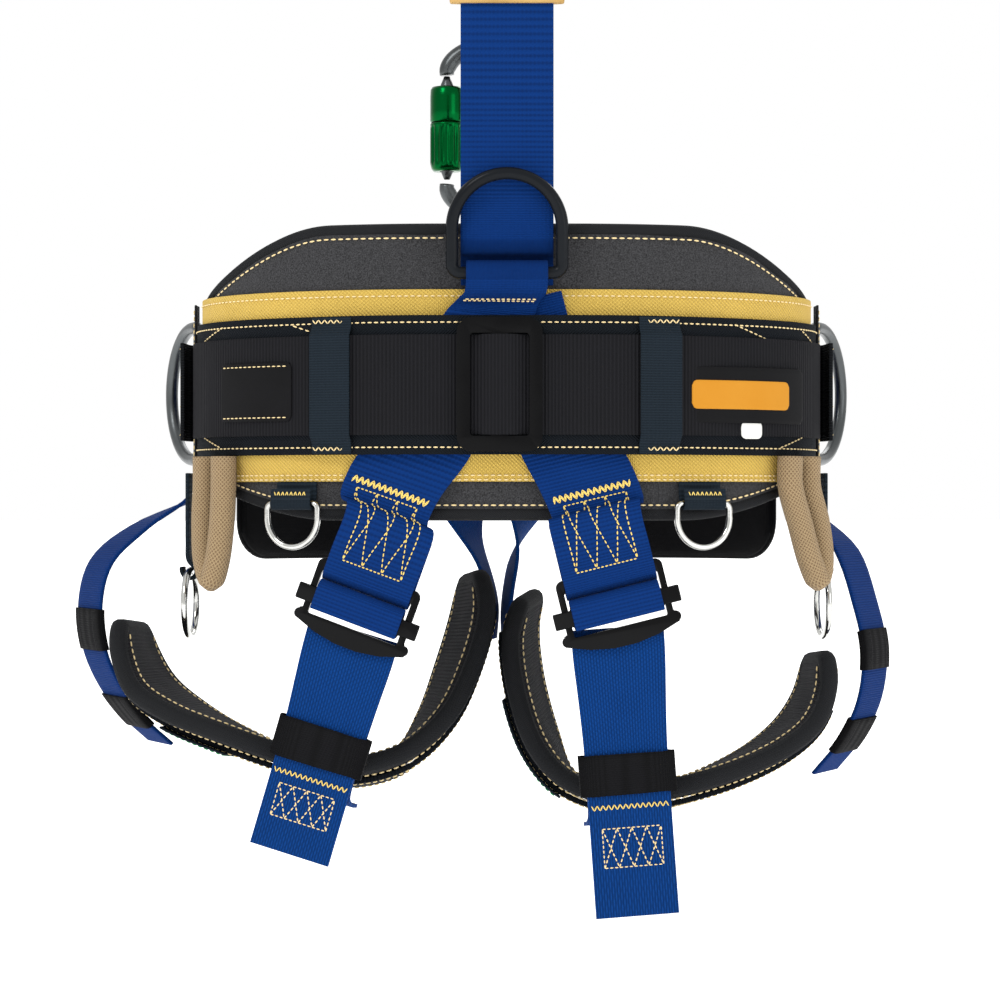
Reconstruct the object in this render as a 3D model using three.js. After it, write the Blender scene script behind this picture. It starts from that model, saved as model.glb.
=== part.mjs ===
// Tree climbing saddle, seen from behind its wearer: +X to the wearer's right, +Y to the front, +Z up.
// The origin is the centre of the waist opening, at the height of the middle of the belt. Millimetres.
import * as THREE from "three";

// ---- Driving dimensions ----
const gap = 0.3; // clearance between pieces that touch
// waist opening
const waistHalfWidth = 162;
const waistHalfDepth = 86;
const backFlat = 34; // half length of the straight run at the back and the front
const waistStep = 8; // length of one facet round the waist
// layers on the waist
const padThickness = 11;
const wingThickness = 9;
const webThickness = 2.2;
const heavyWebThickness = 2.4;
const thinWebThickness = 1.5;
// heights of the bands
const padTop = 88;
const padBottom = -73;
const padHalfLength = 214;
const padEndTop = 50;
const padEndBottom = -50;
const wearBandHalfHeight = 52;
const loadBandHalfHeight = 37.5;
const beltHalfHeight = 27;
const loadBandHalfLength = 206;
const beltHalfLength = 198;
const keeperWidth = 21;
const keeperCentres = { left: -90, right: 78 };
// belt slider
const sliderWidth = 46;
const sliderHeight = 72;
const sliderThickness = 3;
const sliderWindowWidth = 32;
const sliderBarWidth = 7;
const sliderCentre = -4;
// rings
const rearDee = { width: 66, height: 60, wire: 3.4, corner: 4.5, lean: 0.12, barZ: 60 };
const sideDee = { width: 84, height: 56, wire: 3.6, corner: 5, flare: 0.66, barS: 216 };
const gearRing = { width: 35, height: 27, wire: 1.7, corner: 3 };
const ringRadius = 19;
const ringWire = 2;
// straps
const strapWidth = 50;
const tailWidth = 45;
const legStrapWidth = 38;
const riserTop = 223;
const ropeRadius = 7.2;
const toolLoopDrop = 68;
const toolLoopSpan = 18;
// leg loops
const legPadThickness = 11;
const legWebWidth = 45;
const legWebThickness = 3;
// adjusting buckles
const buckle = { width: 59, plateWidth: 65, top: 21, bottom: -22, windowTop: 14, windowBottom: -10.5, thickness: 3 };
const slideBar = { length: 70, half: 6.5, lugHalf: 4.5 };
// carabiner
const carabiner = { height: 110, width: 68, body: 5.2, gateLength: 62 };

// ---- Materials ----
const finish = (color, roughness, metalness) => new THREE.MeshStandardMaterial({ color, roughness, metalness });
const blueWebbing = finish(0x0b4a9c, 0.85, 0);
const goldWebbing = finish(0xd6b862, 0.9, 0);
const slateWebbing = finish(0x2b3540, 0.9, 0);
const blackWebbing = finish(0x16181c, 0.9, 0);
const padFabric = finish(0x4a4a4c, 0.95, 0);
const blackFabric = finish(0x121214, 0.95, 0);
const leather = finish(0xb08d55, 0.8, 0);
const blackSteel = finish(0x0c0c0d, 0.5, 0.7);
const forgedSteel = finish(0x4d5052, 0.45, 0.9);
const nickel = finish(0xcfcfd0, 0.15, 1);
const rope = finish(0xc9a77f, 0.9, 0);
const greenAlloy = finish(0x0a8a3c, 0.3, 0.8);

// ---- Waist ----
// Lengths s run along the inside of the waist from the middle of the back, positive to the wearer's right.
const sideArc = new THREE.EllipseCurve(
  backFlat, 0, waistHalfWidth - backFlat, waistHalfDepth, -Math.PI / 2, Math.PI / 2);
const sideLength = sideArc.getLength();
const halfWaist = 2 * backFlat + sideLength;

// The point and outward direction of the waist at length s.
function waistAt(s) {
  const wrapped = ((((s + halfWaist) % (2 * halfWaist)) + 2 * halfWaist) % (2 * halfWaist)) - halfWaist;
  const side = wrapped < 0 ? -1 : 1;
  const along = Math.abs(wrapped);
  const point = new THREE.Vector2(along, -waistHalfDepth);
  const outward = new THREE.Vector2(0, -1);
  if (along > backFlat + sideLength) {
    point.set(halfWaist - along, waistHalfDepth);
    outward.set(0, 1);
  } else if (along > backFlat) {
    const u = (along - backFlat) / sideLength;
    const tangent = sideArc.getTangentAt(u);
    point.copy(sideArc.getPointAt(u));
    outward.set(tangent.y, -tangent.x);
  }
  point.x *= side;
  outward.x *= side;
  return { point, outward };
}

// Flat coordinates are x along the waist, -y out of it and z up; this bends them round the waist.
function onWaist(x, y, z) {
  const { point, outward } = waistAt(x);
  return new THREE.Vector3(point.x - y * outward.x, point.y - y * outward.y, z);
}

function moveVertices(geometry, place) {
  const at = geometry.attributes.position;
  for (let i = 0; i < at.count; i++) {
    const p = place(at.getX(i), at.getY(i), at.getZ(i), i);
    at.setXYZ(i, p.x, p.y, p.z);
  }
  geometry.computeVertexNormals();
  return geometry;
}

// A group that stands on the waist at s: its x is along the waist, its -y points outward.
function standAt(s) {
  const { point, outward } = waistAt(s);
  const group = new THREE.Group();
  group.position.set(point.x, point.y, 0);
  group.rotation.z = Math.atan2(outward.x, -outward.y);
  saddle.add(group);
  return group;
}

// ---- Shapes ----
const smooth = (from, to, x) => THREE.MathUtils.smoothstep(x, from, to);
const mix = THREE.MathUtils.lerp;

// A unit box cut into steps, with each vertex put where place(u, v, w) says: u from 0 to 1, v and w from -1/2 to 1/2.
function shaped(steps, place, widthSteps = 1) {
  const box = new THREE.BoxGeometry(1, 1, 1, steps, widthSteps, 1);
  return moveVertices(box, (x, y, z) => place(x + 0.5, y, z));
}

// Lengths along the waist where every layer has its corners, so that the layers nest.
function stations(from, to, extra = []) {
  const first = Math.ceil(from / waistStep);
  const count = Math.floor(to / waistStep) - first + 1;
  const grid = Array.from({ length: count }, (_, i) => (first + i) * waistStep);
  const inside = [...grid, ...extra].filter((s) => s > from + 0.4 && s < to - 0.4).sort((a, b) => a - b);
  return [from, ...inside.filter((s, i) => i === 0 || s - inside[i - 1] > 0.4), to];
}

// A layer on the waist between two lengths; bottom, top and inner may be numbers or functions of s.
function layer({ from, to, bottom, top, inner, thickness, corner = 0, extra = [] }) {
  const value = (size, s) => (typeof size === "function" ? size(s) : size);
  const rounding = corner ? [0.05, 0.19, 0.41, 0.69, 1].flatMap((x) => [from + x * corner, to - x * corner]) : [];
  const at = stations(from, to, [...extra, ...rounding]);
  return shaped(at.length - 1, (u, v, w) => {
    const s = at[Math.round(u * (at.length - 1))];
    const edge = Math.min(s - from, to - s);
    const inset = edge < corner ? corner - Math.sqrt(corner ** 2 - (corner - edge) ** 2) : 0;
    const z = v > 0 ? value(top, s) - inset : value(bottom, s) + inset;
    return onWaist(s, -value(inner, s) - thickness * (w + 0.5), z);
  });
}

// A strap along a route; across(u) is the direction of its width. Its corners crowd where the route's points do.
function strap({ route, across, width, thickness, perPoint = 2, widthSteps = 1, place = null }) {
  const widthAt = (u) => (typeof width === "function" ? width(u) : width);
  const acrossAt = (u) => (typeof across === "function" ? across(u) : across).clone().normalize();
  return shaped(perPoint * (route.points.length - 1), (u, v, w) => {
    const middle = route.getPoint(u);
    const side = acrossAt(u);
    const normal = route.getTangent(u).cross(side).normalize();
    const p = middle.addScaledVector(side, v * widthAt(u)).addScaledVector(normal, w * thickness);
    return place ? place(p.x, p.y, p.z) : p;
  }, widthSteps);
}

// A band with its two edges given, from u = from to u = to, lifted off their surface along its normal.
// All bands on the same edges have their corners at the same places, so that they nest.
const bandSteps = 32;
function band({ near, far, thickness, lift = 0, from = 0, to = 1, narrow = 1, roundEnds = 0, widthSteps = 1 }) {
  const grid = Array.from({ length: bandSteps + 1 }, (_, i) => i / bandSteps).filter((t) => t >= from && t <= to);
  const ends = roundEnds ? [0.12, 0.4].flatMap((x) => [x * roundEnds, 1 - x * roundEnds]) : [];
  const at = [...grid, ...ends].sort((a, b) => a - b);
  return shaped(at.length - 1, (u, v, w) => {
    const t = at[Math.round(u * (at.length - 1))];
    const a = near.getPointAt(t);
    const b = far.getPointAt(t);
    const side = b.clone().sub(a);
    const normal = near.getTangentAt(t).lerp(far.getTangentAt(t), 0.5).cross(side).normalize();
    const edge = roundEnds ? Math.min(1, Math.min(t, 1 - t) / roundEnds) : 1;
    const across = narrow * (roundEnds ? mix(0.45, 1, Math.sqrt(1 - (1 - edge) ** 2)) : 1);
    return a.lerp(b, 0.5 + v * across).addScaledVector(normal, lift + w * thickness);
  }, widthSteps);
}

const curve = (points) => new THREE.CatmullRomCurve3(points.map((p) => new THREE.Vector3(...p)));

// A closed round wire along a closed outline in the XZ plane: at(u) gives its point, and outward is its in-plane normal.
function wireLoop(outline, wire, steps, sides = 6) {
  const torus = new THREE.TorusGeometry(1, 0.5, sides, steps);
  return moveVertices(torus, (x, y, z, i) => {
    const u = (i % (steps + 1)) / steps;
    const turn = (2 * Math.PI * (Math.floor(i / (steps + 1)) % sides + 0.5)) / sides;
    const { point, outward } = outline(u % 1);
    return new THREE.Vector3(
      point.x + outward.x * wire * Math.cos(turn),
      -wire * Math.sin(turn),
      point.y + outward.y * wire * Math.cos(turn),
    );
  });
}

// A D: a straight bar through the origin along X, and a round crown at the top of two straight legs.
function deeRing({ width, height, wire, corner }, steps = 32) {
  const half = width / 2 - wire;
  const legs = height - half - 2 * wire;
  const path = new THREE.Path();
  path.moveTo(0, 0);
  path.lineTo(half - corner, 0);
  path.absarc(half - corner, corner, corner, -Math.PI / 2, 0, false);
  path.lineTo(half, Math.max(legs, corner + 0.5));
  path.absarc(0, Math.max(legs, corner + 0.5), half, 0, Math.PI, false);
  path.lineTo(-half, corner);
  path.absarc(corner - half, corner, corner, Math.PI, 1.5 * Math.PI, false);
  path.lineTo(0, 0);
  // half a step of start puts a flat facet in the middle of the crown
  return wireLoop((u) => {
    const at = (u + 0.5 / steps) % 1;
    const tangent = path.getTangentAt(at);
    return { point: path.getPointAt(at), outward: new THREE.Vector2(tangent.y, -tangent.x) };
  }, wire, steps);
}

const roundRing = (radius, wire, steps = 24) => wireLoop((u) => {
  const turn = 2 * Math.PI * u;
  const outward = new THREE.Vector2(Math.cos(turn), Math.sin(turn));
  return { point: outward.clone().multiplyScalar(radius), outward };
}, wire, steps);

function roundedRectangle(shape, left, right, bottom, top, radius) {
  shape.moveTo(left + radius, bottom);
  shape.lineTo(right - radius, bottom);
  shape.absarc(right - radius, bottom + radius, radius, -Math.PI / 2, 0, false);
  shape.lineTo(right, top - radius);
  shape.absarc(right - radius, top - radius, radius, 0, Math.PI / 2, false);
  shape.lineTo(left + radius, top);
  shape.absarc(left + radius, top - radius, radius, Math.PI / 2, Math.PI, false);
  shape.lineTo(left, bottom + radius);
  shape.absarc(left + radius, bottom + radius, radius, Math.PI, 1.5 * Math.PI, false);
  return shape;
}

// A plate drawn in the XZ plane; its back is at y = -back and it is thick towards -y.
function plate(shape, thickness, back = 0) {
  const solid = new THREE.ExtrudeGeometry(shape, { depth: thickness, bevelEnabled: false, curveSegments: 5 });
  solid.rotateX(Math.PI / 2);
  solid.translate(0, -back, 0);
  return solid;
}

const saddle = new THREE.Group();

function add(name, geometry, material, parent = saddle) {
  const mesh = new THREE.Mesh(geometry, material);
  mesh.name = name;
  parent.add(mesh);
  return mesh;
}

// ---- Offsets of the layers, out from the waist ----
const slack = 0.5; // clearance under a strap that crosses the bands
const wearInner = padThickness + gap;
const strapInner = wearInner + thinWebThickness + slack;
const upperStrapInner = strapInner + webThickness + slack;
// The two crossing straps under the belt lift the outer bands off the pad near the middle of the back.
const strapStack = 2 * (webThickness + slack) + gap;
const lift = (s) => strapStack * (1 - smooth(48, 128, Math.abs(s)));
const loadInner = (s) => strapInner + lift(s);
const beltInner = (s) => loadInner(s) + heavyWebThickness + gap;
const outsideBelt = (s) => beltInner(s) + webThickness + gap;
const sliderInner = outsideBelt(sliderCentre);

// ---- Back pad and bands ----
function backPad() {
  const outline = (end, middle) => (s) => mix(middle, end, smooth(95, padHalfLength, Math.abs(s)));
  add("back_pad", layer({
    from: -padHalfLength, to: padHalfLength, bottom: outline(padEndBottom, padBottom), top: outline(padEndTop, padTop),
    inner: 0, thickness: padThickness, corner: 14,
  }), padFabric);
  const wearEnd = padHalfLength - 16;
  add("wear_band", layer({
    from: -wearEnd, to: wearEnd, bottom: -wearBandHalfHeight, top: wearBandHalfHeight,
    inner: wearInner, thickness: thinWebThickness,
  }), goldWebbing);
  add("load_band", layer({
    from: -loadBandHalfLength, to: loadBandHalfLength, bottom: -loadBandHalfHeight, top: loadBandHalfHeight,
    inner: loadInner, thickness: heavyWebThickness,
  }), blackWebbing);
}

// The belt passes behind the slider's side bars and over its middle bar.
function belt() {
  const rise = sliderInner + sliderThickness + gap - beltInner(sliderCentre);
  const hump = (s) => rise * (1 - smooth(sliderBarWidth / 2 + 0.8, sliderWindowWidth / 2 - 0.8, Math.abs(s - sliderCentre)));
  const halfWindow = sliderWindowWidth / 2;
  const fine = Array.from({ length: 25 }, (_, i) => sliderCentre + halfWindow * (i / 12 - 1));
  add("belt", layer({
    from: -beltHalfLength, to: beltHalfLength, bottom: -beltHalfHeight, top: beltHalfHeight,
    inner: (s) => beltInner(s) + hump(s), thickness: webThickness, extra: fine,
  }), blackWebbing);

  const window = (sign) => {
    const inner = sign * sliderBarWidth / 2;
    const outer = sign * sliderWindowWidth / 2;
    return roundedRectangle(new THREE.Path(), Math.min(inner, outer), Math.max(inner, outer),
      -beltHalfHeight - 0.6, beltHalfHeight + 0.6, 2);
  };
  const outline = roundedRectangle(new THREE.Shape(), -sliderWidth / 2, sliderWidth / 2,
    -sliderHeight / 2, sliderHeight / 2, 8);
  outline.holes.push(window(-1), window(1));
  const stand = standAt(sliderCentre);
  add("belt_slider", plate(outline, sliderThickness, sliderInner), blackSteel, stand);
}

// A woven keeper stands over the belt and is sewn to the load band above and below it.
function webbingKeeper(side) {
  const centre = keeperCentres[side];
  const high = beltHalfHeight + 4;
  add("webbing_keeper_" + side, shaped(10, (u, v, w) => {
    const z = (2 * u - 1) * (loadBandHalfHeight - 0.5);
    const s = centre - v * keeperWidth;
    const over = 1 - smooth(beltHalfHeight + 0.8, high, Math.abs(z));
    const inner = mix(loadInner(s) + heavyWebThickness + gap, outsideBelt(s) + 4 * gap, over);
    return onWaist(s, -inner - thinWebThickness * (w + 0.5), z);
  }, 3), slateWebbing);
}

// ---- Rings on the back ----
const rearBarOut = upperStrapInner + webThickness + gap + rearDee.wire;

function rearRing() {
  const dee = add("rear_dee", deeRing(rearDee), blackSteel);
  dee.position.set(0, -waistHalfDepth - rearBarOut, rearDee.barZ);
  dee.rotation.x = rearDee.lean;
}

// The riser comes down behind the crown of the ring, folds in under it and is sewn to the pad.
function backRiser() {
  const foldZ = rearDee.barZ + rearDee.wire + gap + webThickness + 6;
  const out = (off) => -waistHalfDepth - off;
  const frontOut = rearBarOut - 1.6;
  const sewnOut = wearInner + webThickness / 2;
  add("back_riser", strap({
    route: curve([
      [0, out(frontOut), riserTop], [0, out(frontOut), 150], [0, out(frontOut), 100], [0, out(frontOut), foldZ + 6],
      [0, out(frontOut - 2), foldZ], [0, out(sewnOut + 2), foldZ - 2], [0, out(sewnOut), foldZ - 7],
      [0, out(sewnOut), wearBandHalfHeight + 2],
    ]),
    across: new THREE.Vector3(1, 0, 0), width: strapWidth, thickness: webThickness,
  }), blueWebbing);
  const patchGap = webThickness / 2 + gap;
  const sleeve = new THREE.Shape();
  roundedRectangle(sleeve, -strapWidth / 2 - 6, strapWidth / 2 + 6, -patchGap - 2.5, patchGap + 2.5, 2);
  sleeve.holes.push(roundedRectangle(new THREE.Path(), -strapWidth / 2 - gap, strapWidth / 2 + gap, -patchGap, patchGap, 0.3));
  const patch = add("leather_sleeve", new THREE.ExtrudeGeometry(sleeve, { depth: 26, bevelEnabled: false, curveSegments: 3 }), leather);
  patch.position.set(0, out(frontOut), riserTop - 18);
}

// ---- Straps from the belt to the leg loops ----
const hang = {
  left: { s: -62, tilt: 0.35, tailTilt: 0.285, x: -16, z: -122, tail: 138, keeper: -77, over: true },
  right: { s: 46, tilt: -0.24, tailTilt: -0.07, x: 12, z: -120, tail: 167, keeper: -90, over: false },
};
const buckleOut = strapInner + webThickness + gap; // back face of the buckle frames

function buttStrap(side) {
  const spec = hang[side];
  const sign = side === "left" ? -1 : 1;
  const stand = waistAt(spec.s);
  const turn = Math.atan2(stand.outward.x, -stand.outward.y);
  const down = new THREE.Vector2(-Math.sin(spec.tilt), -Math.cos(spec.tilt));
  const centre = new THREE.Vector2(spec.s + spec.x, spec.z);
  const along = (distance) => centre.clone().addScaledVector(down, -distance);
  const laid = strapInner + webThickness / 2;
  const front = buckleOut + buckle.thickness + gap + webThickness / 2;
  const back = buckleOut - gap - webThickness / 2;
  const loopMiddle = buckle.windowTop - gap;
  const at = (p, out) => [p.x, -out, p.y];
  const low = [
    at(along(loopMiddle + 40), front), at(along(loopMiddle + 16), front), at(along(loopMiddle), front),
    at(along(loopMiddle - 2.2), (front * 3 + back) / 4), at(along(loopMiddle - 2.9), (front + back) / 2),
    at(along(loopMiddle - 2.2), (front + back * 3) / 4), at(along(loopMiddle), back), at(along(loopMiddle + 14), back),
    at(along(loopMiddle + 34), back),
  ];
  const under = spec.over ? upperStrapInner + webThickness / 2 : laid;
  const barOut = rearBarOut;
  const loop = rearDee.wire + 4 * gap + webThickness / 2;
  const high = spec.over
    ? [
      [0, -barOut + loop, rearDee.barZ - 7], [0, -barOut + loop, rearDee.barZ],
      [0, -barOut + loop * 0.7, rearDee.barZ + loop * 0.7], [0, -barOut, rearDee.barZ + loop],
      [0, -barOut - loop * 0.7, rearDee.barZ + loop * 0.7], [0, -barOut - loop, rearDee.barZ],
      [0, -barOut - loop * 0.85, rearDee.barZ - loop * 0.6], [-1, -barOut + 0.2, rearDee.barZ - 10.5], [-5, -under - 0.3, 45], [-9, -under, 38], [-22, -under, 14], [-30, -under, -2],
      [-39, -laid - 0.8, -20], [-44, -laid, -31],
    ]
    : [[5, -laid, 45], [9, -laid, 30], [19, -laid, 0], [31, -laid, -30]];
  const middle = [[spec.s - sign * 4, -laid - 0.3, -52], [spec.s + sign * 2, -laid - 1, -68]];
  const route = curve([...high, ...middle, ...low]);
  const straight = new THREE.Vector3(1, 0, 0);
  const tilted = new THREE.Vector3(Math.cos(spec.tilt), 0, -Math.sin(spec.tilt));
  add("butt_strap_" + side, strap({
    route,
    across: (u) => straight.clone().lerp(tilted, spec.over ? smooth(0.3, 0.5, u) : 1),
    width: spec.over ? (u) => mix(strapWidth - 6, strapWidth, smooth(0.3, 0.45, u)) : strapWidth,
    thickness: webThickness, widthSteps: 5,
    // on the pad the strap follows the waist; below it, it hangs flat
    place: (x, y, z) => {
      const bent = onWaist(x, y, z);
      const flat = new THREE.Vector3(x - spec.s, y, 0).applyAxisAngle(new THREE.Vector3(0, 0, 1), turn);
      flat.add(new THREE.Vector3(stand.point.x, stand.point.y, z));
      return bent.lerp(flat, smooth(40, 76, -z));
    },
  }), blueWebbing);
}

function adjuster(side) {
  const spec = hang[side];
  const stand = standAt(spec.s);
  const bucklePose = new THREE.Group();
  bucklePose.position.set(spec.x, -buckleOut, spec.z);
  bucklePose.rotation.y = spec.tilt;
  stand.add(bucklePose);

  // frame: a top bar with rounded ears, two side rails and a curved bottom plate
  const halfPlate = buckle.plateWidth / 2;
  const half = buckle.width / 2;
  const frame = new THREE.Shape();
  frame.moveTo(-half + 4, buckle.top);
  frame.absarc(-half + 4, buckle.top - 4, 4, Math.PI / 2, Math.PI, false);
  frame.lineTo(-half, -8);
  frame.lineTo(-halfPlate + 1, -9);
  frame.absarc(-halfPlate + 2.5, -12, 3, Math.PI / 2, 1.3 * Math.PI, false);
  frame.quadraticCurveTo(0, buckle.bottom - 6, halfPlate - 1, -15);
  frame.absarc(halfPlate - 2.5, -12, 3, -0.3 * Math.PI, Math.PI / 2, false);
  frame.lineTo(half, -8);
  frame.lineTo(half, buckle.top - 4);
  frame.absarc(half - 4, buckle.top - 4, 4, 0, Math.PI / 2, false);
  const windowHalf = strapWidth / 2 + 1;
  frame.holes.push(roundedRectangle(new THREE.Path(), -windowHalf, windowHalf, buckle.windowBottom, buckle.windowTop, 1));
  add("buckle_frame_" + side, plate(frame, buckle.thickness), blackSteel, bucklePose);

  // slide bar: lies on the side rails, its ends stand out past them
  const bar = new THREE.Shape();
  const barHalf = slideBar.length / 2;
  bar.moveTo(-barHalf, -slideBar.lugHalf);
  bar.lineTo(1 - windowHalf, -slideBar.lugHalf);
  bar.lineTo(1 - windowHalf, -slideBar.half);
  bar.lineTo(windowHalf - 1, -slideBar.half);
  bar.lineTo(windowHalf - 1, -slideBar.lugHalf);
  bar.lineTo(barHalf, -slideBar.lugHalf);
  bar.lineTo(barHalf, slideBar.lugHalf);
  bar.lineTo(windowHalf - 1, slideBar.lugHalf);
  bar.lineTo(windowHalf - 1, slideBar.half);
  bar.lineTo(1 - windowHalf, slideBar.half);
  bar.lineTo(1 - windowHalf, slideBar.lugHalf);
  bar.lineTo(-barHalf, slideBar.lugHalf);
  add("slide_bar_" + side, plate(bar, 2.4, buckle.thickness + gap), blackSteel, bucklePose);

  // the webbing's fold over the slide bar, which moves with the bar
  const barBack = buckle.thickness + gap;
  const rearOut = barBack - gap - webThickness / 2;
  const frontOut = barBack + 2.4 + gap + webThickness / 2;
  const foldTop = slideBar.half + gap + 0.6;
  add("strap_fold_" + side, strap({
    route: curve([
      [0, -rearOut, -6], [0, -rearOut, 0], [0, -rearOut, foldTop - 1],
      [0, -(rearOut * 3 + frontOut) / 4, foldTop + 1], [0, -(rearOut + frontOut) / 2, foldTop + 1.5],
      [0, -(rearOut + frontOut * 3) / 4, foldTop + 1], [0, -frontOut, foldTop - 1],
      [0, -frontOut, 0], [0, -frontOut, -slideBar.half - 0.5],
    ]),
    across: new THREE.Vector3(1, 0, 0), width: strapWidth - 0.6, thickness: webThickness,
  }), blueWebbing, bucklePose);

  // the strap below: a free tail in front, and a load layer behind it that runs in under the leg pad
  const tailPose = new THREE.Group();
  tailPose.position.copy(bucklePose.position);
  tailPose.rotation.y = spec.tailTilt;
  stand.add(tailPose);
  const layersApart = webThickness + 3 * gap;
  const tailOut = -gap - webThickness / 2;
  const loadOut = tailOut - layersApart;
  const turnZ = buckle.windowBottom - 2.5;
  const join = legJoin[side];
  add("adjuster_strap_" + side, strap({
    route: curve([
      [0, -tailOut - 1, -spec.tail], [0, -tailOut, -100], [0, -tailOut, -70], [0, -tailOut, -40], [0, -tailOut, turnZ - 4],
      [0, -tailOut, turnZ - 1], [0, -tailOut + layersApart * 0.15, turnZ + 0.4], [0, -tailOut + layersApart / 2, turnZ + 1],
      [0, -tailOut + layersApart * 0.85, turnZ + 0.4], [0, -loadOut, turnZ - 1], [0, -loadOut, turnZ - 4],
      [0, -loadOut, -40], [0, -loadOut, -76], [0, -loadOut, join + 10], [0, -loadOut + 3, join],
      [0, -loadOut + 14, join - 5], [0, -loadOut + 34, join - 8],
    ]),
    across: new THREE.Vector3(1, 0, 0), width: (u) => mix(tailWidth, strapWidth, smooth(0.1, 0.24, u) * (1 - smooth(0.64, 0.76, u))),
    thickness: webThickness,
  }), blueWebbing, tailPose);

  // elastic keeper round both layers
  const keeper = new THREE.Shape();
  const inside = { x: tailWidth / 2 + 1, front: -tailOut - webThickness / 2 - gap, back: -loadOut + webThickness / 2 + gap };
  roundedRectangle(keeper, -inside.x - thinWebThickness, inside.x + thinWebThickness,
    inside.front - thinWebThickness, inside.back + thinWebThickness, 1.2);
  keeper.holes.push(roundedRectangle(new THREE.Path(), -inside.x, inside.x, inside.front, inside.back, 0.3));
  const tube = new THREE.ExtrudeGeometry(keeper, { depth: 22, bevelEnabled: false, curveSegments: 3 });
  tube.translate(0, 0, spec.keeper - 11);
  add("tail_keeper_" + side, tube, blackFabric, tailPose);
}
// how far below each buckle its strap turns in under the leg pad
const legJoin = { left: -100, right: -112 };

// ---- Leg loops ----
// Each loop is a cradle under the thigh: near is its rear edge and far its front edge, from the outer end to the inner.
const legEdges = {
  left: {
    near: [[-222, -28, -132], [-219, -32, -150], [-210, -44, -168], [-190, -56, -180], [-160, -68, -190], [-124, -74, -201],
      [-90, -74, -208], [-57, -70, -201], [-33, -60, -182], [-18, -44, -153], [-11, -28, -124], [-13, -20, -104]],
    far: [[-214, 48, -138], [-210, 48, -152], [-198, 40, -170], [-178, 28, -185], [-150, 12, -200], [-118, 2, -213],
      [-90, 0, -219], [-62, 4, -211], [-48, 14, -188], [-38, 28, -160], [-29, 42, -130], [-25, 50, -110]],
  },
  right: {
    near: [[183, -28, -150], [182, -32, -168], [174, -44, -186], [157, -56, -199], [128, -68, -211], [96, -74, -219],
      [62, -74, -224], [34, -70, -217], [17, -60, -201], [6, -44, -173], [2, -28, -141], [6, -20, -122]],
    far: [[179, 48, -156], [175, 46, -174], [165, 38, -190], [149, 26, -204], [124, 12, -218], [92, 2, -230],
      [61, 0, -233], [36, 6, -223], [26, 18, -198], [17, 32, -163], [15, 44, -135], [19, 52, -117]],
  },
};
// The front straps of each leg loop, from the front webbing down to the ends of the cradle.
const legStraps = {
  left: {
    outer: [[-164, 36, -29.5], [-165, 37, -42], [-184, 38, -60], [-216, 34, -78], [-237, 26, -98], [-243, 22, -122], [-240, 18, -148],
      [-230, 14, -170], [-216, 11, -188], [-200, 8, -202]],
    inner: [[-36, 96, -26], [-31, 92, -52], [-23, 84, -80], [-13, 78, -104], [-8, 76, -126], [-9, 74, -146]],
  },
  right: {
    outer: [[164, 36, -29.5], [165, 37, -42], [181, 38, -68], [200, 32, -92], [210, 28, -122], [215, 22, -150], [211, 16, -178],
      [200, 12, -200], [184, 9, -219]],
    inner: [[22, 96, -26], [17, 92, -54], [9, 84, -82], [3, 78, -106], [0, 76, -130], [1, 74, -154]],
  },
};

function legLoop(side) {
  const near = curve(legEdges[side].near);
  const far = curve(legEdges[side].far);
  // a right cradle runs the other way round, so its edges change places
  const edges = side === "left" ? { near, far } : { near: far, far: near };
  add("leg_pad_" + side, band({ ...edges, thickness: legPadThickness, roundEnds: 0.06, widthSteps: 3 }), blackFabric);
  add("leg_webbing_" + side, band({
    ...edges, thickness: legWebThickness, lift: -(legPadThickness + legWebThickness) / 2 - 2 * slack,
    from: 0.09, to: 0.94, narrow: legWebWidth / 76,
  }), slateWebbing);
  const facing = side === "left" ? 1 : -1;
  add("outer_leg_strap_" + side, strap({
    route: curve(legStraps[side].outer),
    across: (u) => new THREE.Vector3(facing * mix(0.42, -0.5, smooth(0.08, 0.4, u)), 0.95, 0),
    width: legStrapWidth, thickness: webThickness,
  }), blueWebbing);
  const top = new THREE.Vector3(1, 0, 0);
  const bottom = new THREE.Vector3(0.15 * facing, 1, 0);
  add("inner_leg_strap_" + side, strap({
    route: curve(legStraps[side].inner), across: (u) => top.clone().lerp(bottom, smooth(0, 0.6, u)),
    width: (u) => mix(legStrapWidth, 34, smooth(0, 0.5, u)), thickness: webThickness, perPoint: 6,
  }), blueWebbing);
}

// ---- Hips ----
function hip(side) {
  const sign = side === "left" ? -1 : 1;
  add("wing_pad_" + side, layer({
    from: sign < 0 ? -345 : 238, to: sign < 0 ? -238 : 345, bottom: -97, top: 58, inner: 0, thickness: wingThickness,
    corner: 22,
  }), blackFabric);
  // the side ring turns on an upright bar, held by a tab sewn to the end of the load band
  const barOut = loadInner(sideDee.barS) + 5;
  const stand = standAt(sign * sideDee.barS);
  const dee = add("side_dee_" + side, deeRing(sideDee), forgedSteel, stand);
  dee.position.y = -barOut;
  const frontward = sign > 0 ? 1 : -1;
  dee.rotation.set(0, frontward * Math.PI / 2, 0);
  dee.rotation.order = "ZYX";
  dee.rotation.z = -frontward * sideDee.flare;
  const loop = sideDee.wire + gap + heavyWebThickness / 2;
  const width = 56;
  const turnPoint = (angle) => [frontward * loop * Math.sin(angle), -barOut - loop * Math.cos(angle), 0];
  add("side_dee_tab_" + side, strap({
    route: curve([
      [-frontward * 26, -beltInner(190) - webThickness - gap - heavyWebThickness / 2 - 0.4, 0], [-frontward * 12, -barOut - loop + 1, 0],
      turnPoint(0), turnPoint(0.8), turnPoint(1.6), turnPoint(2.4), turnPoint(3.0),
    ]),
    across: new THREE.Vector3(0, 0, -frontward), width, thickness: heavyWebThickness,
  }), blackWebbing, stand);
}

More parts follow.
